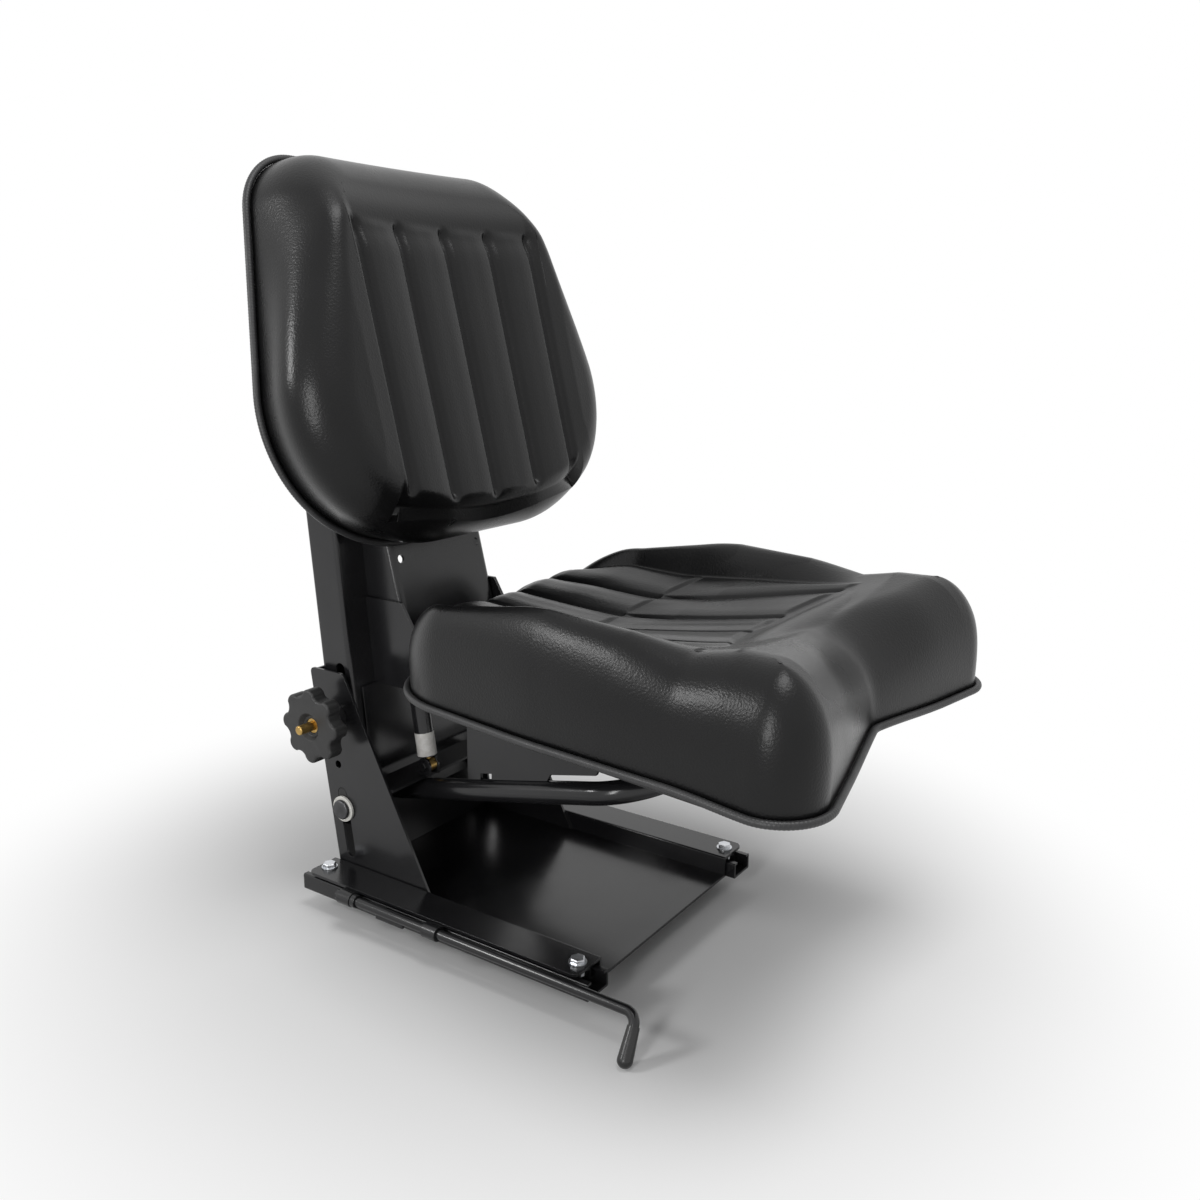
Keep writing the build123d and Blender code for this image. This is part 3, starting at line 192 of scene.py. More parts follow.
def mesh_object(name, points, faces, material):
    """Smooth-shaded object from points in metres and lists of vertex numbers."""
    mesh = bpy.data.meshes.new(name)
    mesh.from_pydata(points.tolist(), [], faces)
    mesh.polygons.foreach_set("use_smooth", np.ones(len(mesh.polygons), bool))
    mesh.materials.append(material)
    mesh.update()
    obj = bpy.data.objects.new(name, mesh)
    bpy.context.scene.collection.objects.link(obj)
    return obj


def edge_distance(points, outline):
    """Shortest distance from each plan point to the outline, one row of the grid at a time."""
    rows = [np.linalg.norm(row[:, None, :] - outline[None, :, :], axis=2).min(axis=1) for row in points]
    return np.stack(rows)


def edge_rise(distance, radius, power):
    """Rounded edge: height share 0 at the outline and 1 from the radius inwards, along a superellipse."""
    inward = np.clip(distance / radius, 0.0, 1.0)
    return (1.0 - (1.0 - inward) ** power) ** (1.0 / power)


def spaced(low, high, step, close_places, close_step, reach):
    """Steps from low to high, with closer ones within reach of the close places."""
    values = [np.arange(low, high, step), np.array([high])]
    for place in close_places:
        values.append(np.arange(place - reach, place + reach + 0.1, close_step))
    merged = np.unique(np.round(np.clip(np.concatenate(values), low, high), 3))
    keep = np.concatenate([[True], np.diff(merged) > 0.6 * close_step])
    keep[-1] = True
    return merged[keep]


def panel_border(panel, ids):
    """Vertex numbers once round the panel's edge, and the plan points along each of its four sides."""
    flat = panel.reshape(-1, 2)
    runs = [ids[:, 0], ids[-1, :], ids[::-1, -1], ids[0, ::-1]]
    return np.concatenate([run[:-1] for run in runs]), [flat[run] for run in runs]


def wall_strip(shape, border, outer, outward, dense):
    """Plan rows from the outline in to the panel's border, and their depth inside the outline.

    The first rows follow the outline at equal depths, closest together at its edge. The others
    share out the way from there to the border.
    """
    reach = np.minimum(shape["strip"], STRIP_SHARE * np.linalg.norm(border - outer, axis=1))
    quarter = 1.0 - np.cos(np.linspace(0.0, np.pi / 2.0, shape["edge_rows"] + 1))
    depth = quarter[:, None] * reach[None]
    edge = outer[None] - outward[None] * depth[..., None]
    joins = np.linspace(0.0, 1.0, shape["join_rows"] + 2)[1:-1]
    join = edge[-1][None] + (border - edge[-1])[None] * joins[:, None, None]
    return np.concatenate([edge, join]), np.concatenate([depth, edge_distance(join, dense)])


def rounded_height(shape, plan, depth):
    """Height over the base at plan points this deep inside the outline, and the edge's share of it."""
    share = edge_rise(depth, shape["round"](plan[..., 0], plan[..., 1]), shape["power"])
    return shape["top"](plan[..., 0], plan[..., 1]) * share, share


def with_height(plan, height):
    """Plan points and their heights as one list of points."""
    return np.concatenate([plan, height[..., None]], axis=-1).reshape(-1, 3)


def cushion_faces(ids, border_ids, strip_rows):
    """Faces of a cushion: its panel, the wall and underside round it, and the cap at the pole."""
    around = len(border_ids)
    rings = len(UNDER_RINGS)
    strip_ids = ids.size + np.arange(strip_rows * around).reshape(-1, around)
    under_ids = strip_ids[-1, -1] + 1 + np.arange(rings * around).reshape(rings, around)
    pole_id = under_ids[-1, -1] + 1
    strips = np.concatenate([under_ids[::-1], strip_ids, border_ids[None]])
    strips = np.concatenate([strips, strips[:, :1]], axis=1)
    first = strips[0]
    cap = np.stack([first[:-1], np.full(around, pole_id), first[1:]], axis=1)
    return grid_faces(ids).tolist() + grid_faces(strips)[:, ::-1].tolist() + cap.tolist()


def cushion(name, shape, material):
    """Closed cushion over a plan outline.

    The middle is a grid over the panel, and a strip of rows joins it to the outline. The height at
    any place is the front surface's there, scaled by the rounded edge: a superellipse of the depth
    inside the outline. The wall leans outwards to its shoulder by the bulge, and its foot sags by
    the sag. The underside is flat.
    """
    panel = np.stack(shape["panel"](*np.meshgrid(shape["rows"], shape["columns"], indexing="ij")), axis=-1)
    ids = np.arange(panel.shape[0] * panel.shape[1]).reshape(panel.shape[:2])
    border_ids, border_runs = panel_border(panel, ids)
    border = panel.reshape(-1, 2)[border_ids]
    outline = rounded_outline(shape["corners"], shape["radii"])
    outer, outward = matched_outline(outline, shape["anchors"], border_runs)
    whole = lengths_along(outline)[-1]
    dense = at_lengths(outline, np.linspace(0.0, whole, DENSE_POINTS, endpoint=False))

    panel_top, _ = rounded_height(shape, panel, edge_distance(panel, dense))
    strip, depth = wall_strip(shape, border, outer, outward, dense)
    strip_top, share = rounded_height(shape, strip, depth)
    fade = 1.0 - smooth(depth / shape["strip"])
    bulge = shape["bulge"](outer[:, 0], outer[:, 1])[None] * smooth(share / SHOULDER_SHARE) * fade
    strip = strip + outward[None] * bulge[..., None]
    sag = shape["sag"](outer[:, 0], outer[:, 1])[None] * (1.0 - smooth(share / FOOT_SHARE))
    strip_top = strip_top - sag

    centre = outer.mean(axis=0)
    under = outer[None] + (centre - outer)[None] * UNDER_RINGS[:, None, None]
    pole = np.append(centre, 0.0)[None]
    points = [with_height(panel, panel_top), with_height(strip, strip_top),
              with_height(under, np.zeros(under.shape[:2])), pole]
    faces = cushion_faces(ids, border_ids, len(strip))
    return mesh_object(name, shape["place"](np.concatenate(points)) * MM, faces, material)


def seat_front(y):
    """Front seam of the seat's panel."""
    return SEAT_PANEL_FRONT + 38.0 * (np.clip(np.abs(y), 0.0, 160.0) / 142.0) ** 2


def seat_side(x):
    """Half width of the seat's panel: full along the middle, drawn in at the rear and in front."""
    rear = 22.0 * (1.0 - smooth((x - SEAT_PANEL_REAR) / 60.0))
    return SEAT_PANEL_HALF - rear - 8.0 * smooth((x - 150.0) / 170.0)


def seat_pleats(x):
    """Distances of the inner and outer pleats from the middle: parallel behind, spreading in front."""
    spread = smooth((x - 125.0) / 190.0)
    return SEAT_PLEATS[0] + 4.0 * spread, SEAT_PLEATS[1] + 29.0 * spread


def seat_panel(a, b):
    """Recessed panel of the seat from its rows and columns.

    A column is named by its distance from the middle at the rear. Further on it keeps its
    share of the way between the pleats, so the columns run along them. Three rounds settle a
    row's place, because the front seam that it is a share of depends on the column's own place.
    """
    rear = SEAT_PANEL_REAR - 24.0 * (1.0 - (np.abs(b) / SEAT_PANEL_HALF) ** 2.6)
    middle = rear + a * (SEAT_PANEL_FRONT - rear)
    for _ in range(3):
        inner, outer = seat_pleats(middle)
        half = seat_side(middle)
        y = column_place(np.abs(b), inner, outer, half)
        middle = rear + a * (seat_front(y) - rear)
    return middle, np.sign(b) * y


def column_place(column, inner, outer, half):
    """Distance from the middle of a column, stretched between the middle, the pleats and the side."""
    first, second = SEAT_PLEATS
    low = column / first * inner
    mid = inner + (column - first) / (second - first) * (outer - inner)
    high = outer + (column - second) / (SEAT_PANEL_HALF - second) * (half - outer)
    return np.where(column < first, low, np.where(column < second, mid, high))


def seat_top(x, y):
    """Height of the seat's top over its base before the edge rounds it.

    Inside the panel it is a dish along and across with four smooth pleat valleys each side of the
    cross band. Outside the panel it climbs to the bolster along a quarter circle's curve, which
    leaves a crease at the seam.
    """
    across = np.abs(y)
    ahead = 26.0 * np.clip((x - 105.0) / 180.0, 0.0, 1.3) ** 1.3
    behind = 9.0 * np.clip((105.0 - x) / 138.0, 0.0, None) ** 1.5
    side = 23.0 - 11.0 * smooth((40.0 - x) / 80.0) - 9.0 * smooth((x - 125.0) / 180.0)
    dish = SEAT_DISH_Z + ahead + behind + side * np.clip(across / 150.0, 0.0, 1.1) ** 1.4

    inner, outer = seat_pleats(x)
    nearest = np.minimum(np.abs(across - inner), np.abs(across - outer))
    band = SEAT_BAND_X + 10.0 * (across / 87.0) ** 2
    front = seat_front(y) - 9.0
    rear_group = smooth((band - 7.0 - x) / 6.0)
    front_group = smooth((x - band - 7.0) / 6.0) * smooth((front - x) / 7.0)
    length = np.maximum(rear_group, front_group)
    pleat = np.exp(-(nearest / SEAT_GROOVE_HALF) ** 2)
    out_y = np.clip(across - seat_side(x), 0.0, None)
    out_x = np.clip(x - seat_front(y), 0.0, None)
    away = np.hypot(out_y, 0.8 * out_x)
    inside = 1.0 - smooth(away / 3.0)
    to_seam = np.minimum(seat_side(x) - across, seat_front(y) - x)
    puff = smooth(nearest / 22.0) * smooth(np.clip(to_seam, 0.0, None) / 14.0) * length
    panel = dish + 3.0 * puff - SEAT_GROOVE_DEPTH * pleat * length * inside

    crest = SEAT_CREST_Z - 43.0 * smooth((45.0 - x) / 90.0) - 36.0 * smooth((x - 120.0) / 250.0)
    waist = smooth((x - 300.0) / 60.0) * (1.0 - smooth((across - 20.0) / 120.0))
    crest = crest - 11.0 * waist
    climb = 1.0 - (1.0 - np.clip(away / 46.0, 0.0, 1.0)) ** 2
    return panel + (np.maximum(crest, dish) - dish) * climb - SEAT_BASE


def seat_round(x, y):
    """Radius of the seat's top edge: small behind, wide at the waist between the front lobes."""
    waist = smooth((x - 300.0) / 60.0) * (1.0 - smooth((np.abs(y) - 10.0) / 110.0))
    return 41.0 - 10.0 * smooth((10.0 - x) / 50.0) + 12.0 * smooth((x - 250.0) / 100.0) + 32.0 * waist


def seat_bulge(x, y):
    """How far the seat's wall leans outwards: the same all round."""
    return np.full_like(x, 4.0)


def seat_sag(x, y):
    """How far the wall's foot hangs lower at the front lobes."""
    return 4.5 * smooth((x - 300.0) / 90.0) * smooth(np.abs(y) / 120.0)


def seat_place(points):
    """Seat plan and height to the frame."""
    return points + np.array([0.0, 0.0, SEAT_BASE])


def no_sag(up, across):
    """No sag at the backrest."""
    return np.zeros_like(up)


def back_panel(a, b):
    """Ribbed panel of the backrest: up the plate between a curved foot and a level head, and across."""
    foot = 34.0 + 18.0 * (b / BACK_PANEL_HALF) ** 2
    return foot + a * (334.0 - foot), b


def back_top(up, across):
    """Height of the backrest's front over its back before the edge rounds it.

    It is hollow across, with five smooth valleys and pads between them. The pads dip at their
    head, and above them the front rolls back to the top.
    """
    base = 101.0 + 8.0 * (np.clip(np.abs(across), 0.0, 160.0) / 128.0) ** 2
    distances = [np.abs(np.abs(across) - y) for y in BACK_GROOVES]
    nearest = np.minimum.reduce(distances)
    foot = 40.0 + 14.0 * (across / 128.0) ** 2
    length = smooth((up - foot) / 12.0) * smooth((327.0 - up) / 12.0)
    valley = np.exp(-(nearest / BACK_GROOVE_HALF) ** 2)
    between = smooth((BACK_PANEL_HALF - np.abs(across)) / 12.0)
    pad = 2.5 * smooth(nearest / 26.0) * length * between
    dip = 4.0 * np.exp(-((up - 318.0) / 16.0) ** 2) * between
    roll = 1.0 - 0.26 * smooth((up - 318.0) / 75.0)
    return (base + pad - dip - BACK_GROOVE_DEPTH * valley * length - BACK_BASE) * roll


def back_round(up, across):
    """Radius of the backrest's front edge: wider at its head."""
    return 34.0 + 9.0 * smooth((up - 300.0) / 80.0)


def back_bulge(up, across):
    """How far the backrest's wall leans outwards: most at its widest place, least at its head."""
    return (23.0 - 22.0 * smooth((up - 170.0) / 190.0)) * (0.65 + 0.35 * smooth(up / 90.0))


def back_place(points):
    """Back plan (up, across, out) to the frame."""
    up, across, out = points[:, 0], points[:, 1], points[:, 2] + BACK_BASE
    x = BACK_ORIGIN[0] - math.sin(BACK_LEAN) * up + math.cos(BACK_LEAN) * out
    z = BACK_ORIGIN[1] + math.cos(BACK_LEAN) * up + math.sin(BACK_LEAN) * out
    return np.stack([x, -across, z], axis=1)


def piping(name, corners, radii, place, material):
    """Ribbed welt: a circle carried along the outline, its radius waved by a cosine of the rib pitch."""
    outline = rounded_outline(corners, radii)
    length = lengths_along(outline)[-1]
    ribs = round(length / PIPING_RIB)
    marks = np.arange(ribs * 4) * length / (ribs * 4)
    path = at_lengths(outline, marks)
    tangent = at_lengths(outline, marks + 2.0) - at_lengths(outline, marks - 2.0)
    tangent /= np.linalg.norm(tangent, axis=1)[:, None]
    outward = np.stack([tangent[:, 1], -tangent[:, 0]], axis=1)
    angle = np.linspace(0.0, 2.0 * np.pi, PIPING_SIDES + 1)[:-1]
    wave = 1.0 + 0.035 * np.cos(np.arange(len(marks)) * np.pi / 2.0)
    radius = PIPING_RADIUS * wave
    across = PIPING_OUT + radius[:, None] * np.cos(angle)[None]
    plan = path[:, None, :] + outward[:, None, :] * across[..., None]
    height = radius[:, None] * np.sin(angle)[None]
    points = np.concatenate([plan, height[..., None]], axis=-1).reshape(-1, 3)
    ids = np.arange(len(points)).reshape(len(marks), PIPING_SIDES)
    ids = np.concatenate([ids, ids[:1]])
    ids = np.concatenate([ids, ids[:, :1]], axis=1)
    return mesh_object(name, place(points) * MM, grid_faces(ids).tolist(), material)


def seat_piping_place(points):
    """Seat piping's plan and height to the frame."""
    sag = seat_sag(points[:, 0], points[:, 1])
    return points + np.array([0.0, 0.0, SEAT_PIPING_Z]) - sag[:, None] * np.array([0.0, 0.0, 1.0])


def back_piping_place(points):
    """Back piping's plan and height to the frame."""
    return back_place(points + np.array([0.0, 0.0, BACK_PIPING_OUT - BACK_BASE]))


def new_group(name, inputs):
    """Empty shader node group with named float inputs."""
    group = bpy.data.node_groups.new(name, "ShaderNodeTree")
    for label, value in inputs:
        item = group.interface.new_socket(label, in_out="INPUT", socket_type="NodeSocketFloat")
        item.default_value = value
    return group


def grain_group():
    """Fine pebble grain: small rounded cells broken up by a finer noise, as a height."""
    group = new_group("Vinyl grain", [("Scale", 600.0), ("Depth", 1.0)])
    group.interface.new_socket("Height", in_out="OUTPUT", socket_type="NodeSocketFloat")
    nodes, links = group.nodes, group.links
    given = nodes.new("NodeGroupInput")
    result = nodes.new("NodeGroupOutput")
    place = nodes.new("ShaderNodeTexCoord")
    cells = nodes.new("ShaderNodeTexVoronoi")
    cells.feature = "SMOOTH_F1"
    noise = nodes.new("ShaderNodeTexNoise")
    noise.inputs["Detail"].default_value = 3.0
    links.new(place.outputs["Object"], cells.inputs["Vector"])
    links.new(place.outputs["Object"], noise.inputs["Vector"])
    links.new(given.outputs["Scale"], cells.inputs["Scale"])
    links.new(given.outputs["Scale"], noise.inputs["Scale"])
    total = nodes.new("ShaderNodeMath")
    total.operation = "ADD"
    links.new(cells.outputs["Distance"], total.inputs[0])
    links.new(noise.outputs["Fac"], total.inputs[1])
    deep = nodes.new("ShaderNodeMath")
    deep.operation = "MULTIPLY"
    links.new(total.outputs[0], deep.inputs[0])
    links.new(given.outputs["Depth"], deep.inputs[1])
    links.new(deep.outputs[0], result.inputs["Height"])
    return group


def drift_group():
    """Slow uneven change over the surface, between a low and a high value."""
    group = new_group("Uneven finish", [("Scale", 12.0), ("Low", 0.3), ("High", 0.5)])
    group.interface.new_socket("Value", in_out="OUTPUT", socket_type="NodeSocketFloat")
    nodes, links = group.nodes, group.links
    given = nodes.new("NodeGroupInput")
    result = nodes.new("NodeGroupOutput")
    place = nodes.new("ShaderNodeTexCoord")
    noise = nodes.new("ShaderNodeTexNoise")
    noise.inputs["Detail"].default_value = 4.0
    noise.inputs["Roughness"].default_value = 0.6
    links.new(place.outputs["Object"], noise.inputs["Vector"])
    links.new(given.outputs["Scale"], noise.inputs["Scale"])
    spread = nodes.new("ShaderNodeMapRange")
    spread.inputs["From Min"].default_value = 0.3
    spread.inputs["From Max"].default_value = 0.7
    links.new(noise.outputs["Fac"], spread.inputs["Value"])
    links.new(given.outputs["Low"], spread.inputs["To Min"])
    links.new(given.outputs["High"], spread.inputs["To Max"])
    links.new(spread.outputs["Result"], result.inputs["Value"])
    return group


GRAIN = grain_group()
DRIFT = drift_group()


def finish(name, colour, other, roughness, metallic=0.0, scale=14.0, grain=None, **sockets):
    """One finish: a colour that drifts towards another, and an uneven roughness between two values.

    A grain bump of (scale, depth in metres) is added where it is given. Other sockets hold constants.
    """
    material = bpy.data.materials.new(name)
    material.use_nodes = True
    nodes, links = material.node_tree.nodes, material.node_tree.links
    shader = nodes["Principled BSDF"]
    shader.inputs["Metallic"].default_value = metallic
    for label, value in sockets.items():
        shader.inputs[label.replace("_", " ")].default_value = value
    rough = nodes.new("ShaderNodeGroup")
    rough.node_tree = DRIFT
    rough.inputs["Scale"].default_value = scale
    rough.inputs["Low"].default_value = roughness[0]
    rough.inputs["High"].default_value = roughness[1]
    links.new(rough.outputs["Value"], shader.inputs["Roughness"])
    tone = nodes.new("ShaderNodeGroup")
    tone.node_tree = DRIFT
    tone.inputs["Scale"].default_value = scale * 1.7
    tone.inputs["Low"].default_value = 0.0
    tone.inputs["High"].default_value = 1.0
    mix = nodes.new("ShaderNodeMix")
    mix.data_type = "RGBA"
    mix.inputs["A"].default_value = (*colour, 1.0)
    mix.inputs["B"].default_value = (*other, 1.0)
    links.new(tone.outputs["Value"], mix.inputs["Factor"])
    links.new(mix.outputs["Result"], shader.inputs["Base Color"])
    if grain:
        height = nodes.new("ShaderNodeGroup")
        height.node_tree = GRAIN
        height.inputs["Scale"].default_value = grain[0]
        bump = nodes.new("ShaderNodeBump")
        bump.inputs["Distance"].default_value = grain[1]
        bump.inputs["Strength"].default_value = 1.0
        links.new(height.outputs["Height"], bump.inputs["Height"])
        links.new(bump.outputs["Normal"], shader.inputs["Normal"])
    return material


def gloss_paint():
    """Black stoved paint."""
    return finish("Gloss black paint", (0.010, 0.010, 0.011), (0.014, 0.014, 0.015), (0.16, 0.26),
                  scale=9.0, Specular_IOR_Level=0.45)


def spring_paint():
    """Black enamel on the spring wire."""
    return finish("Spring enamel", (0.014, 0.014, 0.014), (0.02, 0.02, 0.02), (0.3, 0.4), scale=40.0)


def bright_zinc():
    """Zinc plate on the bolts and nuts."""
    return finish("Bright zinc", (0.68, 0.69, 0.71), (0.52, 0.54, 0.57), (0.24, 0.4), metallic=1.0,
                  scale=60.0)


def dark_shaft():
    """Oiled dark steel."""
    return finish("Dark shaft steel", (0.10, 0.10, 0.105), (0.06, 0.06, 0.06), (0.3, 0.45), metallic=1.0,
                  scale=50.0)


def damper_chrome():
    """Ground and chromed damper rod."""
    return finish("Chromed rod", (0.66, 0.66, 0.68), (0.58, 0.58, 0.6), (0.08, 0.14), metallic=1.0,
                  scale=40.0)


def yellow_brass():
    """Brass and yellow passivated small parts."""
    return finish("Yellow brass", (0.56, 0.38, 0.13), (0.36, 0.22, 0.07), (0.28, 0.45), metallic=1.0,
                  scale=80.0)


def black_vinyl():
    """Leather-grained vinyl, satin gloss."""
    return finish("Black vinyl", (0.003, 0.003, 0.0032), (0.0055, 0.0055, 0.0058), (0.25, 0.35), scale=7.0,
                  grain=(520.0, 0.00012), Specular_IOR_Level=0.27)


def piping_vinyl():
    """Vinyl welt."""
    return finish("Piping vinyl", (0.02, 0.02, 0.021), (0.03, 0.03, 0.031), (0.38, 0.5), scale=30.0,
                  grain=(900.0, 0.0001))


def shell_plastic():
    """Textured black shell."""
    return finish("Shell plastic", (0.014, 0.014, 0.015), (0.02, 0.02, 0.02), (0.5, 0.62), scale=12.0,
                  grain=(700.0, 0.00015))


def knob_plastic():
    """Matte moulded plastic."""
    return finish("Knob plastic", (0.012, 0.012, 0.012), (0.019, 0.019, 0.019), (0.42, 0.56), scale=30.0,
                  grain=(1200.0, 0.0001))


def grip_plastic():
    """Glossy dipped plastic."""
    return finish("Grip plastic", (0.010, 0.010, 0.010), (0.015, 0.015, 0.015), (0.2, 0.3), scale=30.0)


def white_nylon():
    """Natural nylon."""
    return finish("White nylon", (0.74, 0.73, 0.69), (0.60, 0.59, 0.55), (0.4, 0.52), scale=60.0)


def blank_band():
    """Blank white band, slightly soiled."""
    return finish("Blank band", (0.70, 0.69, 0.67), (0.52, 0.50, 0.47), (0.45, 0.6), scale=90.0)


def black_rubber():
    """Black rubber."""
    return finish("Black rubber", (0.016, 0.016, 0.016), (0.024, 0.024, 0.024), (0.6, 0.75), scale=50.0)


PAINT = gloss_paint()
SPRING = spring_paint()
ZINC = bright_zinc()
SHAFT = dark_shaft()
CHROME = damper_chrome()
BRASS = yellow_brass()
VINYL = black_vinyl()
PIPING = piping_vinyl()
SHELL = shell_plastic()
KNOB = knob_plastic()
GRIP = grip_plastic()
NYLON = white_nylon()
BAND = blank_band()
RUBBER = black_rubber()

BODY_OF = {node: body for body, nodes in frame["record"]["behaviour"]["bodies"].items() for node in nodes}

# Finish and softened edge width, in millimetres, of each node that keeps its shape
FINISHES = [
    (PAINT, "frame_paint", 0.5, ["lower_rail_left", "lower_rail_right", "upper_rail_left",
                                 "upper_rail_right", "base_pan", "tower_plate_left",
                                 "tower_plate_right", "tower_back", "damper_shelf", "post_left",
                                 "post_right", "cross_panel", "back_bracket", "cradle_plate_left",
                                 "cradle_plate_right", "seat_arm_left", "seat_arm_right",
                                 "lever_clips", "latch_comb", "lever_collar"]),
    (PAINT, "frame_paint", 0.0, ["hoop_tube", "lever_rod", "seat_pan"]),
    (ZINC, "zinc", 0.3, ["pan_bolts", "pan_nuts", "seat_bolts", "back_bolts", "spring_shaft_nut"]),
    (SHAFT, "shaft_steel", 0.3, ["spring_shaft", "guide_shaft", "damper_foot_pin", "damper_head_pin"]),
    (SHAFT, "shaft_steel", 0.4, ["guide_caps"]),
    (BRASS, "brass", 0.3, ["adjuster_stud", "knob_insert", "damper_foot_eye"]),
    (CHROME, "shaft_steel", 0.0, ["damper_rod"]),
    (PAINT, "frame_paint", 0.4, ["damper_body"]),
    (BAND, "band", 0.0, ["damper_band"]),
    (NYLON, "nylon", 0.3, ["guide_washers", "guide_spacers", "shaft_spacers", "slide_shoes_left",
                           "slide_shoes_right"]),
    (RUBBER, "rubber", 0.3, ["rebound_stops"]),
    (KNOB, "knob_plastic", 0.8, ["star_knob"]),
    (GRIP, "grip_plastic", 0.0, ["lever_grip"]),
    (SHELL, "shell_plastic", 1.0, ["back_shell"]),
]


def finished_copy(node, material, edge):
    """A node's merged copy with softened edges and its own finish, which stands for the node."""
    source = frame["nodes"][node]
    mesh = source.data.copy()
    mesh.name = "finished_" + node
    work = bmesh.new()
    work.from_mesh(mesh)
    bmesh.ops.remove_doubles(work, verts=work.verts, dist=0.00002)
    bmesh.ops.dissolve_limit(work, angle_limit=math.radians(0.5), verts=work.verts, edges=work.edges)
    work.to_mesh(mesh)
    work.free()
    mesh.polygons.foreach_set("use_smooth", np.ones(len(mesh.polygons), bool))
    mesh.set_sharp_from_angle(angle=math.radians(32.0))
    mesh.materials.clear()
    mesh.materials.append(material)
    obj = bpy.data.objects.new("finished_" + node, mesh)
    bpy.context.scene.collection.objects.link(obj)
    if edge > 0.0:
        bevel = obj.modifiers.new("Softened edges", "BEVEL")
        bevel.width = edge * MM
        bevel.segments = 2
        bevel.limit_method = "ANGLE"
        bevel.angle_limit = math.radians(40.0)
        bevel.harden_normals = True
    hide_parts(node)
    return obj


def both_sides(places):
    """The places and their mirror images, in order."""
    return sorted({sign * place for place in places for sign in (-1.0, 1.0)})


def upholster():
    """Seat and back cushions with their piping."""
    seat = {
        "rows": spaced(0.0, 1.0, 0.011, (0.42, 0.47, 0.52, 0.97), 0.004, 0.03),
        "columns": spaced(-SEAT_PANEL_HALF, SEAT_PANEL_HALF, 5.0, both_sides(SEAT_PLEATS), 1.1, 9.0),
        "corners": SEAT_CORNERS, "radii": SEAT_RADII, "panel": seat_panel,
        "anchors": [(-38.0, -125.0), (416.0, -196.0), (416.0, 196.0), (-38.0, 125.0)],
        "strip": 44.0, "edge_rows": 34, "join_rows": 16, "top": seat_top, "round": seat_round,
        "power": 2.3, "bulge": seat_bulge, "sag": seat_sag, "place": seat_place,
    }
    back = {
        "rows": spaced(0.0, 1.0, 0.011, (0.04, 0.95), 0.005, 0.05),
        "columns": spaced(-BACK_PANEL_HALF, BACK_PANEL_HALF, 5.0, both_sides(BACK_GROOVES), 1.3, 12.0),
        "corners": BACK_CORNERS, "radii": BACK_RADII, "panel": back_panel,
        "anchors": [(48.0, -156.0), (386.0, -146.0), (386.0, 146.0), (48.0, 156.0)],
        "strip": 44.0, "edge_rows": 34, "join_rows": 14, "top": back_top, "round": back_round,
        "power": 2.2, "bulge": back_bulge, "sag": no_sag, "place": back_place,
    }
    seat_cushion = cushion("seat_upholstery", seat, VINYL)
    back_cushion = cushion("back_upholstery", back, VINYL)
    seat_welt = piping("seat_welt", SEAT_CORNERS, SEAT_RADII, seat_piping_place, PIPING)
    back_welt = piping("back_welt", BACK_CORNERS, BACK_RADII, back_piping_place, PIPING)
    made = [(seat_cushion, "seat_cushion", "vinyl"), (back_cushion, "back_cushion", "vinyl"),
            (seat_welt, "seat_piping", "piping"), (back_welt, "back_piping", "piping")]
    for obj, node, slot in made:
        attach(obj, "seat_frame")
        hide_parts(node)


def stretch_springs():
    """Both tension springs, from the fixed shaft above to the guide shaft below, as finished copies that
    stay as they are modelled.
    """
    for side in ("left", "right"):
        node = "spring_" + side
        obj = finished_copy(node, SPRING, 0.0)
        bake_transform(obj)


def floor_material():
    """Pale floor near the object, the white background further out."""
    material = bpy.data.materials.new("Pale floor")
    material.use_nodes = True
    nodes, links = material.node_tree.nodes, material.node_tree.links
    nodes.remove(nodes["Principled BSDF"])
    matt = nodes.new("ShaderNodeBsdfDiffuse")
    matt.inputs["Color"].default_value = (0.86, 0.86, 0.86, 1.0)
    white = nodes.new("ShaderNodeEmission")
    place = nodes.new("ShaderNodeTexCoord")
    length = nodes.new("ShaderNodeVectorMath")
    length.operation = "LENGTH"
    fade = nodes.new("ShaderNodeMapRange")
    fade.inputs["From Min"].default_value = 0.24
    fade.inputs["From Max"].default_value = 0.75
    fade.interpolation_type = "SMOOTHSTEP"
    seen = seen_rays(nodes, links)
    both = nodes.new("ShaderNodeMath")
    both.operation = "MULTIPLY"
    mix = nodes.new("ShaderNodeMixShader")
    links.new(place.outputs["Object"], length.inputs[0])
    links.new(length.outputs["Value"], fade.inputs["Value"])
    links.new(fade.outputs["Result"], both.inputs[0])
    links.new(seen, both.inputs[1])
    links.new(both.outputs[0], mix.inputs["Fac"])
    links.new(matt.outputs["BSDF"], mix.inputs[1])
    links.new(white.outputs["Emission"], mix.inputs[2])
    links.new(mix.outputs["Shader"], nodes["Material Output"].inputs["Surface"])
    return material


def seen_rays(nodes, links):
    """1 for camera, glossy and transmission rays, and 0 for the rest."""
    path = nodes.new("ShaderNodeLightPath")
    first = nodes.new("ShaderNodeMath")
    first.operation = "MAXIMUM"
    second = nodes.new("ShaderNodeMath")
    second.operation = "MAXIMUM"
    links.new(path.outputs["Is Camera Ray"], first.inputs[0])
    links.new(path.outputs["Is Glossy Ray"], first.inputs[1])
    links.new(first.outputs[0], second.inputs[0])
    links.new(path.outputs["Is Transmission Ray"], second.inputs[1])
    return second.outputs[0]


def lay_floor():
    """Flat floor a little below the lowest piece."""
    low = cad_box[0][2] - 0.0012
    half = 6.0
    count = 9
    steps = np.linspace(-half, half, count)
    x, y = np.meshgrid(steps, steps, indexing="ij")
    points = np.stack([x, y, np.full_like(x, low)], axis=-1).reshape(-1, 3)
    ids = np.arange(count * count).reshape(count, count)
    floor = mesh_object("floor", points, grid_faces(ids).tolist(), floor_material())


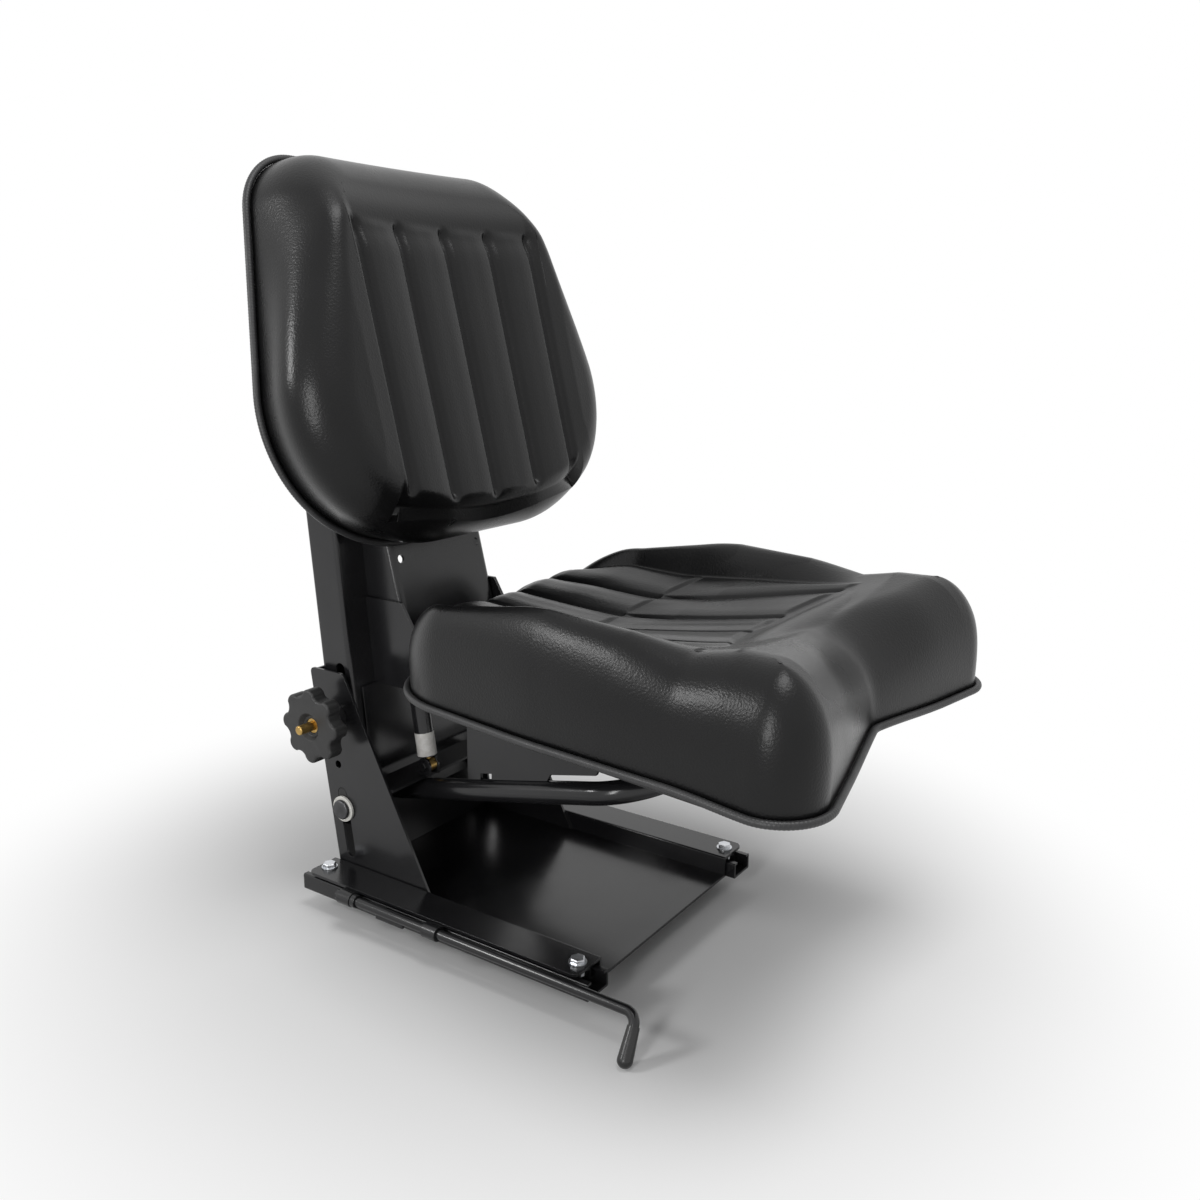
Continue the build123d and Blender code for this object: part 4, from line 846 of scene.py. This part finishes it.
def light_world():
    """White background for what sees it, and a plain level of fill for the rest."""
    world = bpy.data.worlds.new("Studio")
    bpy.context.scene.world = world
    world.use_nodes = True
    nodes, links = world.node_tree.nodes, world.node_tree.links
    background = nodes["Background"]
    background.inputs["Color"].default_value = (1.0, 1.0, 1.0, 1.0)
    strength = nodes.new("ShaderNodeMapRange")
    strength.inputs["To Min"].default_value = 0.3
    strength.inputs["To Max"].default_value = 1.0
    links.new(seen_rays(nodes, links), strength.inputs["Value"])
    links.new(strength.outputs["Result"], background.inputs["Strength"])


def soft_box(name, place, target, width, height, power):
    """Rectangular soft lamp aimed at a point."""
    lamp = bpy.data.lights.new(name, "AREA")
    lamp.shape = "RECTANGLE"
    lamp.size = width
    lamp.size_y = height
    lamp.energy = power
    obj = bpy.data.objects.new(name, lamp)
    obj.location = place
    obj.rotation_euler = (Vector(target) - Vector(place)).to_track_quat("-Z", "Y").to_euler()
    bpy.context.scene.collection.objects.link(obj)


def light_object():
    """Overhead, rear and side lamps."""
    middle = (0.1, 0.0, 0.35)
    soft_box("Overhead lamp", (0.7, -0.2, 2.3), middle, 1.1, 0.9, 18.0)
    soft_box("Rear lamp", (-1.15, -1.6, 1.35), middle, 0.4, 0.5, 12.0)
    soft_box("Side lamp", (0.45, -2.2, 0.9), middle, 0.35, 1.0, 13.0)


def place_camera():
    """Camera at the photograph's place, turn and angle of view."""
    azimuth = math.radians(CAMERA_AZIMUTH)
    pitch = math.radians(CAMERA_PITCH)
    roll = CAMERA_ROLL
    level_share = math.cos(pitch)
    ahead = Vector((-math.sin(azimuth) * level_share, math.cos(azimuth) * level_share, -math.sin(pitch)))
    level = Vector((math.cos(azimuth), math.sin(azimuth), 0.0))
    above = level.cross(ahead)
    right = level * math.cos(roll) + above * math.sin(roll)
    up = above * math.cos(roll) - level * math.sin(roll)
    data = bpy.data.cameras.new("Camera")
    data.sensor_width = 36.0
    data.lens = CAMERA_LENS
    data.clip_start = 0.05
    data.clip_end = 40.0
    camera = bpy.data.objects.new("Camera", data)
    turn = Matrix((right, up, -ahead)).transposed().to_4x4()
    camera.matrix_world = Matrix.Translation(CAMERA_PLACE) @ turn
    bpy.context.scene.collection.objects.link(camera)
    bpy.context.scene.camera = camera


for finish_material, finish_slot, edge_width, nodes_with_it in FINISHES:
    for node_name in nodes_with_it:
        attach(finished_copy(node_name, finish_material, edge_width), BODY_OF[node_name])
upholster()
stretch_springs()
lay_floor()
light_world()
light_object()
place_camera()
bpy.context.scene.view_settings.view_transform = "Standard"
